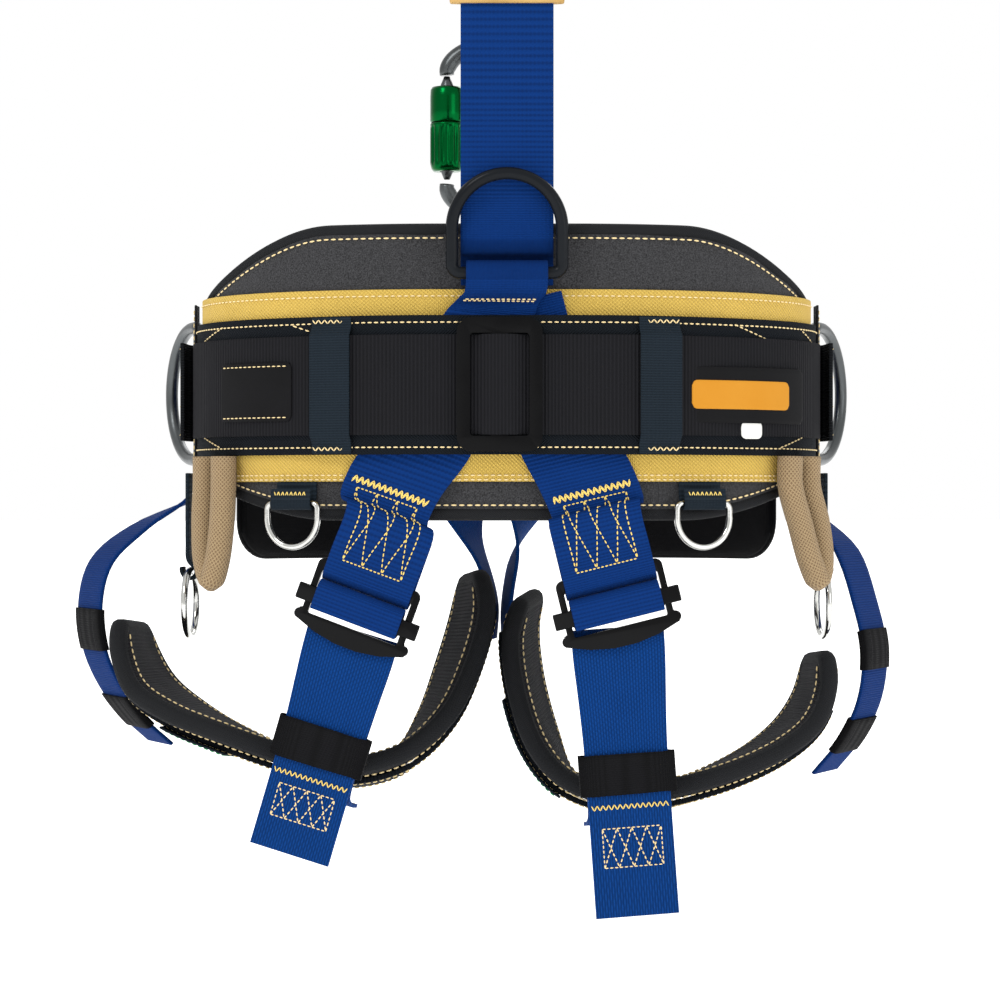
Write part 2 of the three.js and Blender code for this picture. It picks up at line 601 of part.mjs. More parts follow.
// ---- Gear rings, hanging below the wear band ----
const gearStations = { left_inner: -112, right_inner: 102, left_front: -266, right_front: 266 };
const gearBarZ = -wearBandHalfHeight - 12;

function gearRingAt(name) {
  const onWing = name.endsWith("front");
  const surface = (onWing ? wingThickness : padThickness) + gap;
  const barOut = surface + 2 * thinWebThickness + gearRing.wire + 1;
  const stand = standAt(gearStations[name]);
  const ring = add("gear_ring_" + name, deeRing(gearRing, 24), nickel, stand);
  ring.position.set(0, -barOut, gearBarZ);
  ring.rotation.x = Math.PI;
  const loop = gearRing.wire + gap + thinWebThickness / 2;
  const around = (angle) => [0, -barOut - loop * Math.sin(angle), gearBarZ - loop * Math.cos(angle)];
  add("gear_tab_" + name, strap({
    route: curve([
      [0, -surface - thinWebThickness / 2, -wearBandHalfHeight - gap], [0, -surface - 1.2, gearBarZ + 4],
      around(-1.2), around(-0.4), around(0.4), around(1.2), around(2.0), [0, -barOut - loop * 0.5, gearBarZ + 8],
    ]),
    across: new THREE.Vector3(-1, 0, 0), width: 25, thickness: thinWebThickness,
  }), slateWebbing, stand);
}

// ---- Rope tool loops ----
function toolLoop(side) {
  const sign = side === "left" ? -1 : 1;
  const stand = standAt(sign * 158);
  const out = strapInner + ropeRadius + 1.2;
  const splay = side === "left" ? 0 : 16; // how far its foot stands to the side
  const half = toolLoopSpan / 2;
  const topZ = -loadBandHalfHeight - gap;
  const route = curve([
    [-half, -out, topZ], [-half, -out, topZ - 16], [-half * 0.98 + splay * 0.5, -out - 1, topZ - toolLoopDrop * 0.55],
    [-half * 0.62 + splay * 0.85, -out - 2, topZ - toolLoopDrop * 0.86], [splay, -out - 2, topZ - toolLoopDrop],
    [half * 0.62 + splay * 0.85, -out - 2, topZ - toolLoopDrop * 0.86],
    [half * 0.98 + splay * 0.5, -out - 1, topZ - toolLoopDrop * 0.55], [half, -out, topZ - 16], [half, -out, topZ],
  ]);
  const section = new THREE.Shape();
  section.absarc(0, 0, ropeRadius, 0, 2 * Math.PI, false);
  const tube = new THREE.ExtrudeGeometry(section, { extrudePath: route, steps: 26, curveSegments: 4, bevelEnabled: false });
  add("tool_loop_" + side, tube, rope, stand);
}

// ---- Breakaway lanyard rings on the hips ----
function lanyardRing(side) {
  const sign = side === "left" ? -1 : 1;
  const stand = standAt(sign * 208);
  const pivotOut = padThickness + 10;
  const pivotZ = -loadBandHalfHeight - 9;
  const tabWidth = 20;
  const tabEnd = pivotZ - 56;
  const bight = ringWire + 1.2 + webThickness / 2;
  // a flat top and a bight round the ring, where the tab is narrow
  add("lanyard_tab_" + side, strap({
    route: curve([
      [0, -pivotOut, pivotZ], [0, -pivotOut, pivotZ - 18], [0, -pivotOut, pivotZ - 40],
      [0, -pivotOut + 0.5, tabEnd + 6], [0, -pivotOut - 0.2 + bight, tabEnd + 1.5], [0, -pivotOut + bight, tabEnd - 1],
      [0, -pivotOut + bight * 0.6, tabEnd - bight * 0.9], [0, -pivotOut - bight * 0.3, tabEnd - bight - 0.4],
      [0, -pivotOut - bight, tabEnd - 1], [0, -pivotOut - bight - 0.2, tabEnd + 2],
    ]),
    across: new THREE.Vector3(-1, 0, 0), width: (u) => mix(tabWidth, 9, smooth(0.4, 0.62, u)),
    thickness: webThickness,
  }), blackWebbing, stand);
  const ring = add("lanyard_ring_" + side, roundRing(ringRadius, ringWire), nickel, stand);
  ring.position.set(0, -pivotOut, tabEnd - ringRadius);
}

// ---- Front ----
const frontOut = wingThickness + gap;
function front() {
  const start = 226;
  add("front_webbing", layer({
    from: start, to: 2 * halfWaist - start, bottom: -22.5, top: 22.5, inner: frontOut, thickness: webThickness,
  }), blueWebbing);
  // buckle on the front webbing
  const stand = standAt(halfWaist - 70);
  const frame = roundedRectangle(new THREE.Shape(), -22, 22, -31, 31, 5);
  frame.holes.push(roundedRectangle(new THREE.Path(), -14, 14, -23, 23, 1));
  const outside = frontOut + webThickness + gap;
  add("front_buckle_frame", plate(frame, 3, outside), blackSteel, stand);
  const tongue = roundedRectangle(new THREE.Shape(), -19, 8, -21, 21, 4);
  add("front_buckle_tongue", plate(tongue, 3, outside + 3 + gap), blackSteel, stand);
}

// ---- Rope bridge across the front, with a ring on it ----
const bridge = { x: -8, y: 128, z: 94, ropeRadius: 6.5, ringInside: 24, ringWire: 4 };
function ropeBridge() {
  const section = new THREE.Shape();
  section.absarc(0, 0, bridge.ropeRadius, 0, 2 * Math.PI, false);
  const route = curve([
    [-114, 87, 14], [-98, 102, 34], [-62, 118, 66], [bridge.x - 14, bridge.y, bridge.z], [bridge.x + 14, bridge.y, bridge.z],
    [54, 118, 66], [96, 102, 34], [114, 87, 14],
  ]);
  add("rope_bridge", new THREE.ExtrudeGeometry(section, { extrudePath: route, steps: 26, curveSegments: 4, bevelEnabled: false }),
    rope);
}

// The carabiner hangs upright between the ventral ring and the front riser, its gate to the wearer's left.
function carabinerParts() {
  const stand = standAt(halfWaist);
  const halfWidth = carabiner.width / 2 - carabiner.body;
  const halfHeight = carabiner.height / 2 - carabiner.body;
  const basketZ = bridge.z + 24.5;
  const pose = new THREE.Group();
  pose.position.set(-bridge.x, waistHalfDepth - bridge.y, basketZ + halfHeight);
  stand.add(pose);
  const gateHalf = carabiner.gateLength / 2;
  // the open body: from above the gate, over the top, down the spine and round the basket to below the gate
  const gateSide = 1;
  const body = curve([
    [gateSide * halfWidth, 0, gateHalf + 3], [gateSide * halfWidth, 0, gateHalf + 6], [gateSide * (halfWidth - 4), 0, halfHeight - 6],
    [gateSide * (halfWidth - 14), 0, halfHeight], [0, 0, halfHeight], [-gateSide * (halfWidth - 12), 0, halfHeight - 4],
    [-gateSide * (halfWidth - 2), 0, halfHeight - 18], [-gateSide * halfWidth, 0, 0], [-gateSide * (halfWidth - 2), 0, 18 - halfHeight],
    [-gateSide * (halfWidth - 12), 0, 4 - halfHeight], [0, 0, -halfHeight], [gateSide * (halfWidth - 14), 0, -halfHeight],
    [gateSide * (halfWidth - 4), 0, 6 - halfHeight], [gateSide * halfWidth, 0, -gateHalf - 6], [gateSide * halfWidth, 0, -gateHalf - 3],
  ]);
  const section = new THREE.Shape();
  section.absellipse(0, 0, carabiner.body, carabiner.body, 0, 2 * Math.PI, false, 0);
  add("carabiner_body", new THREE.ExtrudeGeometry(section, { extrudePath: body, steps: 44, curveSegments: 4, bevelEnabled: false }),
    forgedSteel, pose);
  const onGate = (geometry, z) => geometry.rotateX(Math.PI / 2).translate(gateSide * halfWidth, 0, z);
  const gateRadius = 4.2;
  add("carabiner_gate", onGate(new THREE.CylinderGeometry(gateRadius, gateRadius, 2 * gateHalf + 2, 16), 1), forgedSteel, pose);
  // the sleeves are tubes round the gate
  const tube = (outer, from, to, bottomOuter = outer) => {
    const profile = [[gateRadius + gap, from], [bottomOuter, from], [outer, from + 4], [outer, to - 1.5], [outer - 1.5, to],
      [gateRadius + gap, to], [gateRadius + gap, from]];
    return new THREE.LatheGeometry(profile.map(([x, y]) => new THREE.Vector2(x, y)), 16)
      .rotateX(Math.PI / 2).translate(gateSide * halfWidth, 0, 0);
  };
  add("lock_sleeve", tube(10.5, -gateHalf + 5, 4, 8.5), greenAlloy, pose);
  add("lock_collar", tube(10.5, 4 + gap, gateHalf - 4.5), greenAlloy, pose);

  // the ring hangs from the basket, with the rope bridge through it
  const ringCentre = bridge.ringInside + bridge.ringWire;
  const ring = add("bridge_ring", roundRing(ringCentre, bridge.ringWire, 28), forgedSteel, pose);
  ring.position.z = -halfHeight + carabiner.body + gap + bridge.ringWire - ringCentre;
  ring.rotation.z = Math.PI / 2;

  // front riser: webbing that folds round the top of the carabiner
  const topZ = pose.position.z + halfHeight;
  const loop = carabiner.body + 8 * gap + webThickness / 2;
  const out = -pose.position.y;
  const around = (angle) => [pose.position.x, -out - loop * Math.cos(angle), topZ - loop * Math.sin(angle)];
  add("front_riser", strap({
    route: curve([
      [pose.position.x, -out + 2, topZ + 62], [pose.position.x, -out - 1, topZ + 40], [pose.position.x, -out - loop + 1, topZ + 12],
      around(0), around(0.6), around(1.2), around(1.9), around(2.5), around(3.1),
      [pose.position.x, -out + loop - 1, topZ + 10], [pose.position.x, -out + 3.6, topZ + 20],
    ]),
    across: new THREE.Vector3(1, 0, 0), width: 25, thickness: webThickness,
  }), blackWebbing, stand);
}

backPad();
belt();
rearRing();
backRiser();
front();
ropeBridge();
carabinerParts();
for (const side of ["left", "right"]) {
  webbingKeeper(side);
  buttStrap(side);
  adjuster(side);
  legLoop(side);
  hip(side);
  toolLoop(side);
  lanyardRing(side);
}
Object.keys(gearStations).forEach(gearRingAt);

export default saddle;
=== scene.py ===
"""Tree climbing saddle: the visible model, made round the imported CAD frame.

Lengths in the helpers are millimetres.
"""

import math

import bmesh
import bpy
import numpy as np
from mathutils import Matrix, Vector, noise


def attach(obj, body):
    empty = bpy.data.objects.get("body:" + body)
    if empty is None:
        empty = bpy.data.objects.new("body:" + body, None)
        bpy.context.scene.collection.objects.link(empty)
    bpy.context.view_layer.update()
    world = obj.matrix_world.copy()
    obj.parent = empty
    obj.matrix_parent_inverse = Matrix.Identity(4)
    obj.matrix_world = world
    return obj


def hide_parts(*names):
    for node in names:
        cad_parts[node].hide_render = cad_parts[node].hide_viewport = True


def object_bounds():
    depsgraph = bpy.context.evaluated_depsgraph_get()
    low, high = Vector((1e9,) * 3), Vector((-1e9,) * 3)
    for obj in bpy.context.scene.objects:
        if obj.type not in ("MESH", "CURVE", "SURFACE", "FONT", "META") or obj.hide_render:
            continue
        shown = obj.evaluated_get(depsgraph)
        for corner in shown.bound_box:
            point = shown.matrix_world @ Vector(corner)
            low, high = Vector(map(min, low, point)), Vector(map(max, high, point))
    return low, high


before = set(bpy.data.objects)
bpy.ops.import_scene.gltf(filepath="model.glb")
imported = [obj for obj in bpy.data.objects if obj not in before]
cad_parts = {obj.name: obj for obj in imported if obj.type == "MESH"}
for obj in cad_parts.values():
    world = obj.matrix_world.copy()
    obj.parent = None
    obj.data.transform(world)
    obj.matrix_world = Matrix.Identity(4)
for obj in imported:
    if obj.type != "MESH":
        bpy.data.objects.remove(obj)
cad_box = [list(corner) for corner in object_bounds()]
MM = 0.001

# ---- Camera, light and floor ----
camera = bpy.data.objects.new("camera", bpy.data.cameras.new("camera"))
bpy.context.collection.objects.link(camera)
camera.location = (-0.0038, -1.6, -0.062)
camera.rotation_euler = (math.pi / 2, 0, 0)
camera.data.lens = 100
camera.data.sensor_width = 36
bpy.context.scene.camera = camera
bpy.context.scene.view_settings.view_transform = "Standard"
world = bpy.data.worlds.new("studio")
bpy.context.scene.world = world
world.use_nodes = True
world.node_tree.nodes["Background"].inputs["Color"].default_value = (1, 1, 1, 1)
world.node_tree.nodes["Background"].inputs["Strength"].default_value = 1.0


def softbox(name, place, target, size, power):
    lamp = bpy.data.lights.new(name, "AREA")
    lamp.size, lamp.energy = size, power
    held = bpy.data.objects.new(name, lamp)
    held.location = place
    held.rotation_euler = (Vector(target) - Vector(place)).to_track_quat("-Z", "Y").to_euler()
    bpy.context.collection.objects.link(held)


softbox("key", (-0.9, -1.3, 1.3), (0, 0, 0), 0.6, 12)
softbox("fill", (1.3, -1.2, 0.3), (0, 0, -0.05), 0.8, 4)
softbox("rim", (0.3, 1.4, 1.0), (0, 0, 0), 0.8, 6)


# ---- Materials ----
def rgb(text):
    channels = [int(text[i:i + 2], 16) / 255 for i in (1, 3, 5)]
    return tuple(c / 12.92 if c <= 0.04045 else ((c + 0.055) / 1.055) ** 2.4 for c in channels) + (1,)


def node(tree, kind, settings=None, links=None):
    made = tree.nodes.new("ShaderNode" + kind)
    for key, value in (settings or {}).items():
        setattr(made, key, value)
    for key, value in (links or {}).items():
        if isinstance(value, bpy.types.NodeSocket):
            tree.links.new(value, made.inputs[key])
        else:
            made.inputs[key].default_value = value
    return made


def start(name, base, rough, metal=0.0, sheen=0.0, coat=0.0, gloss=0.08):
    material = bpy.data.materials.new(name)
    material.use_nodes = True
    tree = material.node_tree
    shader = tree.nodes["Principled BSDF"]
    shader.inputs["Base Color"].default_value = rgb(base)
    shader.inputs["Roughness"].default_value = rough
    shader.inputs["Metallic"].default_value = metal
    shader.inputs["Sheen Weight"].default_value = sheen
    shader.inputs["Coat Weight"].default_value = coat
    shader.inputs["Specular IOR Level"].default_value = gloss
    return material, tree, shader


def sums(tree, operation, a, b=None):
    return node(tree, "Math", {"operation": operation}, {0: a} if b is None else {0: a, 1: b}).outputs[0]


def raise_bump(tree, shader, height, distance, strength=1.0):
    bump = node(tree, "Bump", None, {"Height": height, "Distance": distance * MM, "Strength": strength})
    tree.links.new(bump.outputs["Normal"], shader.inputs["Normal"])


def tint(tree, shader, factor, low, high):
    mixed = node(tree, "Mix", {"data_type": "RGBA"}, {0: factor, 6: rgb(low), 7: rgb(high)})
    tree.links.new(mixed.outputs[2], shader.inputs["Base Color"])


def woven(name, low, high, weave, row, column, depth=0.35, rough=0.8, sheen=0.25):
    """Woven webbing: the weave follows the strap through its own map, in real millimetres."""
    material, tree, shader = start(name, high, rough, sheen=sheen)
    across = node(tree, "SeparateXYZ", None, {0: node(tree, "UVMap", {"uv_map": "weave"}).outputs[0]})
    x, y = across.outputs[0], across.outputs[1]

    def wave(value, pitch):
        turned = sums(tree, "MULTIPLY", value, 2 * math.pi / (pitch * MM))
        return sums(tree, "MULTIPLY_ADD", sums(tree, "SINE", turned), 0.5)

    def unit(value, pitch):
        return sums(tree, "ADD", wave(value, pitch), 0.5)

    if weave == "plain":
        # rows of crossing yarns: neighbouring columns are half a row out of step
        half = sums(tree, "MULTIPLY",
                    sums(tree, "GREATER_THAN",
                         sums(tree, "SINE", sums(tree, "MULTIPLY", y, math.pi / (column * MM))), 0.0),
                         row * MM / 2)
        height = sums(tree, "MULTIPLY", unit(sums(tree, "ADD", x, half), row),
                      sums(tree, "ABSOLUTE",
                           sums(tree, "SINE", sums(tree, "MULTIPLY", y, math.pi / (column * MM)))))
    elif weave == "cord":
        height = unit(x, row)
    elif weave == "ribs":
        height = sums(tree, "MULTIPLY", unit(x, row),
                      sums(tree, "ADD", sums(tree, "MULTIPLY", unit(y, column), 0.4), 0.6))
    elif weave == "twill":
        height = sums(tree, "MULTIPLY", unit(sums(tree, "ADD", x, y), row),
                      sums(tree, "ADD", sums(tree, "MULTIPLY", unit(x, column), 0.5), 0.5))
    else:
        # herringbone: the twill turns back at every column
        folded = sums(tree, "PINGPONG", sums(tree, "ADD", y, 1.0), column * MM)
        height = unit(sums(tree, "ADD", x, folded), row)
    cloud = node(tree, "TexNoise", None,
                 {"Vector": node(tree, "TexCoord").outputs["Object"], "Scale": 60.0, "Detail": 4.0})
    # colour: painted shade, darker where the weave height is low in its hollows, mottled at random by the
    # cloud noise
    weave_shade_and_mottle = sums(tree, "ADD", sums(tree, "MULTIPLY", height, 0.75),
                  sums(tree, "MULTIPLY", cloud.outputs[0], 0.35))
    tint(tree, shader, weave_shade_and_mottle, low, high)
    raise_bump(tree, shader, height, depth)
    return material


def cast(name, base, rough, metal=1.0, grain=500.0, depth=0.05, coat=0.0, worn=None):
    """Metal or moulding with a fine grain left by forging, tumbling or powder coat, and lighter wear."""
    material, tree, shader = start(name, base, rough, metal, coat=coat, gloss=0.5 if metal else 0.07)
    where = node(tree, "TexCoord").outputs["Object"]
    fine = node(tree, "TexNoise", None, {"Vector": where, "Scale": grain, "Detail": 3.0})
    raise_bump(tree, shader, fine.outputs[0], depth)
    broad = node(tree, "TexNoise", None, {"Vector": where, "Scale": grain / 12, "Detail": 5.0})
    tint(tree, shader, broad.outputs[0], base, worn or base)
    uneven = node(tree, "MapRange", None, {0: broad.outputs[0], 3: rough - 0.08, 4: rough + 0.1})
    tree.links.new(uneven.outputs[0], shader.inputs["Roughness"])
    return material


# main straps: deep blue, cross-ribbed, dull
blue = woven("polyester_webbing_blue", "#00153d", "#032b66", "ribs", 1.3, 2.2, 0.25, sheen=0.0)
# tails and inner straps: a little lighter, plain weave
teal = woven("polyester_webbing_teal", "#00204b", "#063878", "plain", 1.7, 1.6, 0.3, sheen=0.0)
# tape on the pad: straw gold with a diagonal rib
gold = woven("cotton_twill_gold", "#927228", "#cdad55", "twill", 2.2, 1.1, 0.4, sheen=0.08)
# wide band round the back: near black, herringbone
structural = woven("herringbone_webbing_dark", "#040506", "#12161b", "herringbone", 1.7, 5.0, 0.35, sheen=0.0)
# belt: black with fine upright cords
ribbed = woven("ribbed_belt_black", "#060607", "#1a1a1d", "cord", 1.9, 3.0, 0.5, sheen=0.0)
# edge tape: black, folded round rims
binding = woven("binding_tape_black", "#09090a", "#222325", "herringbone", 1.4, 2.6, 0.25, sheen=0.0)
# keepers: black, finely ribbed
elastic = woven("elastic_black", "#040404", "#111113", "ribs", 1.6, 1.2, 0.4, sheen=0.0)
black_web = woven("webbing_black", "#060708", "#16181b", "plain", 1.6, 1.5, sheen=0.0)
# keepers and tabs: dark blue grey
slate = woven("webbing_slate", "#090d11", "#1b242c", "ribs", 1.4, 2.0, 0.3, sheen=0.0)
# inside of the leg pads: dark grey mesh
lining = woven("spacer_mesh_grey", "#0b0b0d", "#1c1c20", "ribs", 2.2, 1.5, 0.5, sheen=0.0)
thread_tan = woven("bonded_thread_tan", "#a98f5e", "#e8d09a", "twill", 0.5, 0.4, 0.05)
thread_gold = woven("bonded_thread_gold", "#a88b3e", "#e6ca6e", "twill", 0.5, 0.4, 0.05)
thread_green = woven("bonded_thread_green", "#1c6b3e", "#38a05f", "twill", 0.5, 0.4, 0.05)


def braided():
    """Braided polyester cover: two sets of strand bundles cross at a steep angle round the rope."""
    material, tree, shader = start("braided_cover_tan", "#bd9a70", 0.85, sheen=0.08)
    where = node(tree, "SeparateXYZ", None, {0: node(tree, "UVMap", {"uv_map": "weave"}).outputs[0]})
    x, y = where.outputs[0], where.outputs[1]
    strand = 4.6 / 2 * MM
    left = sums(tree, "SINE", sums(tree, "MULTIPLY", sums(tree, "ADD", x, y), 2 * math.pi / strand))
    right = sums(tree, "SINE", sums(tree, "MULTIPLY", sums(tree, "SUBTRACT", x, y), 2 * math.pi / strand))
    height = sums(tree, "ADD", sums(tree, "MULTIPLY", sums(tree, "MAXIMUM", left, right), 0.5), 0.5)
    yarn = sums(tree, "SINE", sums(tree, "MULTIPLY", x, 2 * math.pi / (0.9 * MM)))
    # colour: painted shade, darker in the grooves between the strand bundles where the height is low, with
    # fine yarn stripes
    tint(tree, shader, sums(tree, "ADD", height, sums(tree, "MULTIPLY", yarn, 0.08)), "#705940", "#9d8767")
    raise_bump(tree, shader, height, 0.5)
    return material


def heather():
    """Heather grey knit: mixed light and dark yarns over foam, with a fine knit relief."""
    material, tree, shader = start("heather_knit_grey", "#4a4a4c", 0.95, sheen=0.08)
    where = node(tree, "TexCoord").outputs["Object"]
    fleck = node(tree, "TexNoise", None, {"Vector": where, "Scale": 1500.0, "Detail": 2.0})
    spread = node(tree, "MapRange", None, {0: fleck.outputs[0], 1: 0.3, 2: 0.72})
    tint(tree, shader, spread.outputs[0], "#1f1f20", "#424244")
    knit = node(tree, "TexVoronoi", None, {"Vector": where, "Scale": 700.0})
    raise_bump(tree, shader, knit.outputs["Distance"], 0.3)
    return material


def hide():
    """Vegetable tanned leather: pebbled grain, with a mottled tone."""
    material, tree, shader = start("tanned_leather", "#b08d55", 0.62)
    where = node(tree, "TexCoord").outputs["Object"]
    pebble = node(tree, "TexVoronoi", None, {"Vector": where, "Scale": 420.0})
    cloud = node(tree, "TexNoise", None, {"Vector": where, "Scale": 45.0, "Detail": 6.0})
    tint(tree, shader, cloud.outputs[0], "#8a6a38", "#c9a66a")
    raise_bump(tree, shader, pebble.outputs["Distance"], 0.25)
    return material


rope = braided()
knit = heather()
leather = hide()
smooth_black = woven("coated_nylon_black", "#050506", "#0d0d0f", "plain", 0.9, 0.9, 0.12, 0.6, 0.0)
# rear D: smooth black
forged = cast("blackened_forged_steel", "#0d0f12", 0.26, 0.0, grain=260, depth=0.08, coat=0.03,
              worn="#191c20")
# side Ds and connector: grey with soft highlights
gunmetal = cast("forged_steel_satin", "#3f4243", 0.34, grain=260, depth=0.12, worn="#626566")
# slider and front buckle: satin black
matt_black = cast("powder_coated_steel_black", "#060607", 0.28, 0.0, grain=900, depth=0.03, worn="#0c0c0d")
# adjuster frames: glossier black
gloss_black = cast("electrocoated_steel_black", "#060607", 0.2, 0.0, grain=300, depth=0.03, coat=0.05,
                   worn="#0b0b0c")
# small rings: bright
nickel = cast("nickel_plated_steel", "#cfcfcb", 0.12, grain=400, depth=0.03, worn="#aeaeaa")
# lock sleeve and collar: clear green over metal
green = cast("anodised_aluminium_green", "#035625", 0.24, grain=300, depth=0.03, worn="#02441c")
rubber = cast("moulded_rubber_black", "#0c0c0d", 0.55, 0.0, grain=700, depth=0.05, worn="#141416")
# plain oblong on the label
orange = cast("moulded_rubber_orange", "#b97a1e", 0.5, 0.0, grain=700, depth=0.05, worn="#c0852c")
# blank size tag
paper = woven("woven_tag_white", "#c9c9c4", "#ecece8", "plain", 0.8, 0.8, 0.1)


# ---- The waist ----
HALF_WIDTH, HALF_DEPTH, FLAT = 162.0, 86.0, 34.0
turns = np.linspace(-math.pi / 2, math.pi / 2, 2001)
arc = np.stack([FLAT + (HALF_WIDTH - FLAT) * np.cos(turns), HALF_DEPTH * np.sin(turns)], 1)
arc_length = np.concatenate([[0], np.cumsum(np.linalg.norm(np.diff(arc, axis=0), axis=1))])
SIDE = float(arc_length[-1])
HALF_WAIST = 2 * FLAT + SIDE


def waist_at(s):
    """The point inside the waist at length s from the middle of the back, and its way out."""
    s = (s + HALF_WAIST) % (2 * HALF_WAIST) - HALF_WAIST
    side, along = (-1 if s < 0 else 1), abs(s)
    if along <= FLAT:
        point, out = (along, -HALF_DEPTH), (0, -1)
    elif along > FLAT + SIDE:
        point, out = (HALF_WAIST - along, HALF_DEPTH), (0, 1)
    else:
        t = float(np.interp(along - FLAT, arc_length, turns))
        point = (FLAT + (HALF_WIDTH - FLAT) * math.cos(t), HALF_DEPTH * math.sin(t))
        tangent = Vector((-(HALF_WIDTH - FLAT) * math.sin(t), HALF_DEPTH * math.cos(t))).normalized()
        out = (tangent.y, -tangent.x)
    return Vector((side * point[0], point[1], 0)), Vector((side * out[0], out[1], 0))


def on_waist(x, y, z):
    point, out = waist_at(x)
    return Vector((point.x - y * out.x, point.y - y * out.y, z))


def stand_at(s):
    """The frame that stands on the waist at s: x along the waist, -y out of it."""
    point, out = waist_at(s)
    return Matrix.Translation(point) @ Matrix.Rotation(math.atan2(out.x, -out.y), 4, "Z")


def smooth(low, high, x):
    t = min(1, max(0, (x - low) / (high - low)))
    return t * t * (3 - 2 * t)


def mix(a, b, t):
    return a + (b - a) * t


class Route:
    """A centripetal Catmull-Rom curve through points, as the CAD's curves are."""

    def __init__(self, points):
        self.points = [Vector(p) for p in points]
        self.known = {}
        samples = [self.at(i / 400) for i in range(401)]
        steps = [(b - a).length for a, b in zip(samples, samples[1:])]
        self.reach = np.concatenate([[0], np.cumsum(steps)])
        self.length = float(self.reach[-1])

    def at(self, u):
        p = self.points
        place = min(max(u, 0), 1) * (len(p) - 1)
        i = min(int(place), len(p) - 2)
        t = place - i
        before = p[i - 1] if i else 2 * p[0] - p[1]
        after = p[i + 2] if i + 2 < len(p) else 2 * p[-1] - p[-2]
        four = [before, p[i], p[i + 1], after]
        gaps = [max((four[k + 1] - four[k]).length ** 0.5, 1e-4) for k in range(3)]
        slopes = [(four[k + 1] - four[k]) / gaps[k] for k in range(3)]
        over_two = [(four[k + 2] - four[k]) / (gaps[k] + gaps[k + 1]) for k in range(2)]
        go = (slopes[0] - over_two[0] + slopes[1]) * gaps[1]
        come = (slopes[1] - over_two[1] + slopes[2]) * gaps[1]
        a, b = four[1], four[2]
        return a + go * t + (3 * (b - a) - 2 * go - come) * t * t + (2 * (a - b) + go + come) * t ** 3

    def tangent(self, u):
        key = round(u, 6)
        if key not in self.known:
            self.known[key] = (self.at(min(1, u + 1e-4)) - self.at(max(0, u - 1e-4))).normalized()
        return self.known[key]

    def even(self, t):
        """The curve's own u at the share t of its length."""
        return float(np.interp(t * self.length, self.reach, np.linspace(0, 1, 401)))


# ---- Mesh helpers ----
def piece(name, bm, materials, body, slot, replaces=(), bevel=0.0, levels=0):
    """Finishes a bmesh as a piece that rides on a body."""
    for vert in bm.verts:
        vert.co *= MM
    bmesh.ops.recalc_face_normals(bm, faces=bm.faces[:])
    mesh = bpy.data.meshes.new(name)
    bm.to_mesh(mesh)
    bm.free()
    mesh.shade_smooth()
    made = bpy.data.objects.new(name, mesh)
    bpy.context.collection.objects.link(made)
    for material in (materials if isinstance(materials, (list, tuple)) else [materials]):
        mesh.materials.append(material)
    if bevel:
        edge = made.modifiers.new("edge", "BEVEL")
        edge.width = bevel * MM
        edge.segments = 2
        edge.limit_method = "ANGLE"
        edge.angle_limit = math.radians(40)
    if levels:
        finer = made.modifiers.new("finer", "SUBSURF")
        finer.levels = finer.render_levels = levels
    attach(made, body)
    if replaces:
        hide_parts(*replaces)
    return made


def slab(name, place, size, steps, materials, body="harness", slot="black_webbing", replaces=(), bevel=0.5,
         levels=0, lined=False):
    """A strip. place(u, v, w) puts its points: u is 0 to 1 along, v and w are -1/2 to 1/2."""
    bm = bmesh.new()
    bmesh.ops.create_grid(bm, x_segments=steps[0], y_segments=steps[1], size=0.5)
    bmesh.ops.solidify(bm, geom=bm.faces[:], thickness=1)
    middle = sum(v.co.z for v in bm.verts) / len(bm.verts)
    weave = bm.loops.layers.uv.new("weave")
    for face in bm.faces:
        if lined and face.calc_center_median().z > middle + 0.4:
            face.material_index = 1
        for loop in face.loops:
            loop[weave].uv = ((loop.vert.co.x + 0.5) * size[0] * MM, loop.vert.co.y * size[1] * MM)
    for vert in bm.verts:
        vert.co = place(vert.co.x + 0.5, vert.co.y, vert.co.z - middle)
    return piece(name, bm, materials, body, slot, replaces, bevel, levels)


def waist_strip(name, s0, s1, bottom, top, out, thickness, material, slot, replaces=(), steps=None,
                body="harness"):
    height = lambda value, s: value(s) if callable(value) else value

    def place(u, v, w):
        s = mix(s0, s1, u)
        z = mix(height(bottom, s), height(top, s), v + 0.5)
        return on_waist(s, -height(out, s) - thickness * (w + 0.5), z)

    count = steps or (max(4, int(abs(s1 - s0) / 4)), 4)
    return slab(name, place, (s1 - s0, height(top, s0) - height(bottom, s0)), count, material, body, slot,
                replaces)


def strap(name, points, across, width, thickness, material, slot, replaces=(), body="harness",
          to_world=None, steps=None, arch=0.0):
    """A strap along a route. It returns the piece, its surface at(u, v, w) and the route."""
    route = Route(points)
    wide = width if callable(width) else (lambda u: width)
    side_at = across if callable(across) else (lambda u: Vector(across))

    def at(u, v, w):
        side = side_at(u).normalized()
        normal = route.tangent(u).cross(side).normalized()
        p = route.at(u) + side * v * wide(u) + normal * (w + arch * (1 - 4 * v * v))
        return to_world(p) if to_world else p

    made = slab(name, lambda u, v, w: at(u, v, w * thickness), (route.length, wide(0.5)),
                steps or (5 * (len(points) - 1), 6), material, body, slot, replaces, bevel=0.55)
    return made, at, route


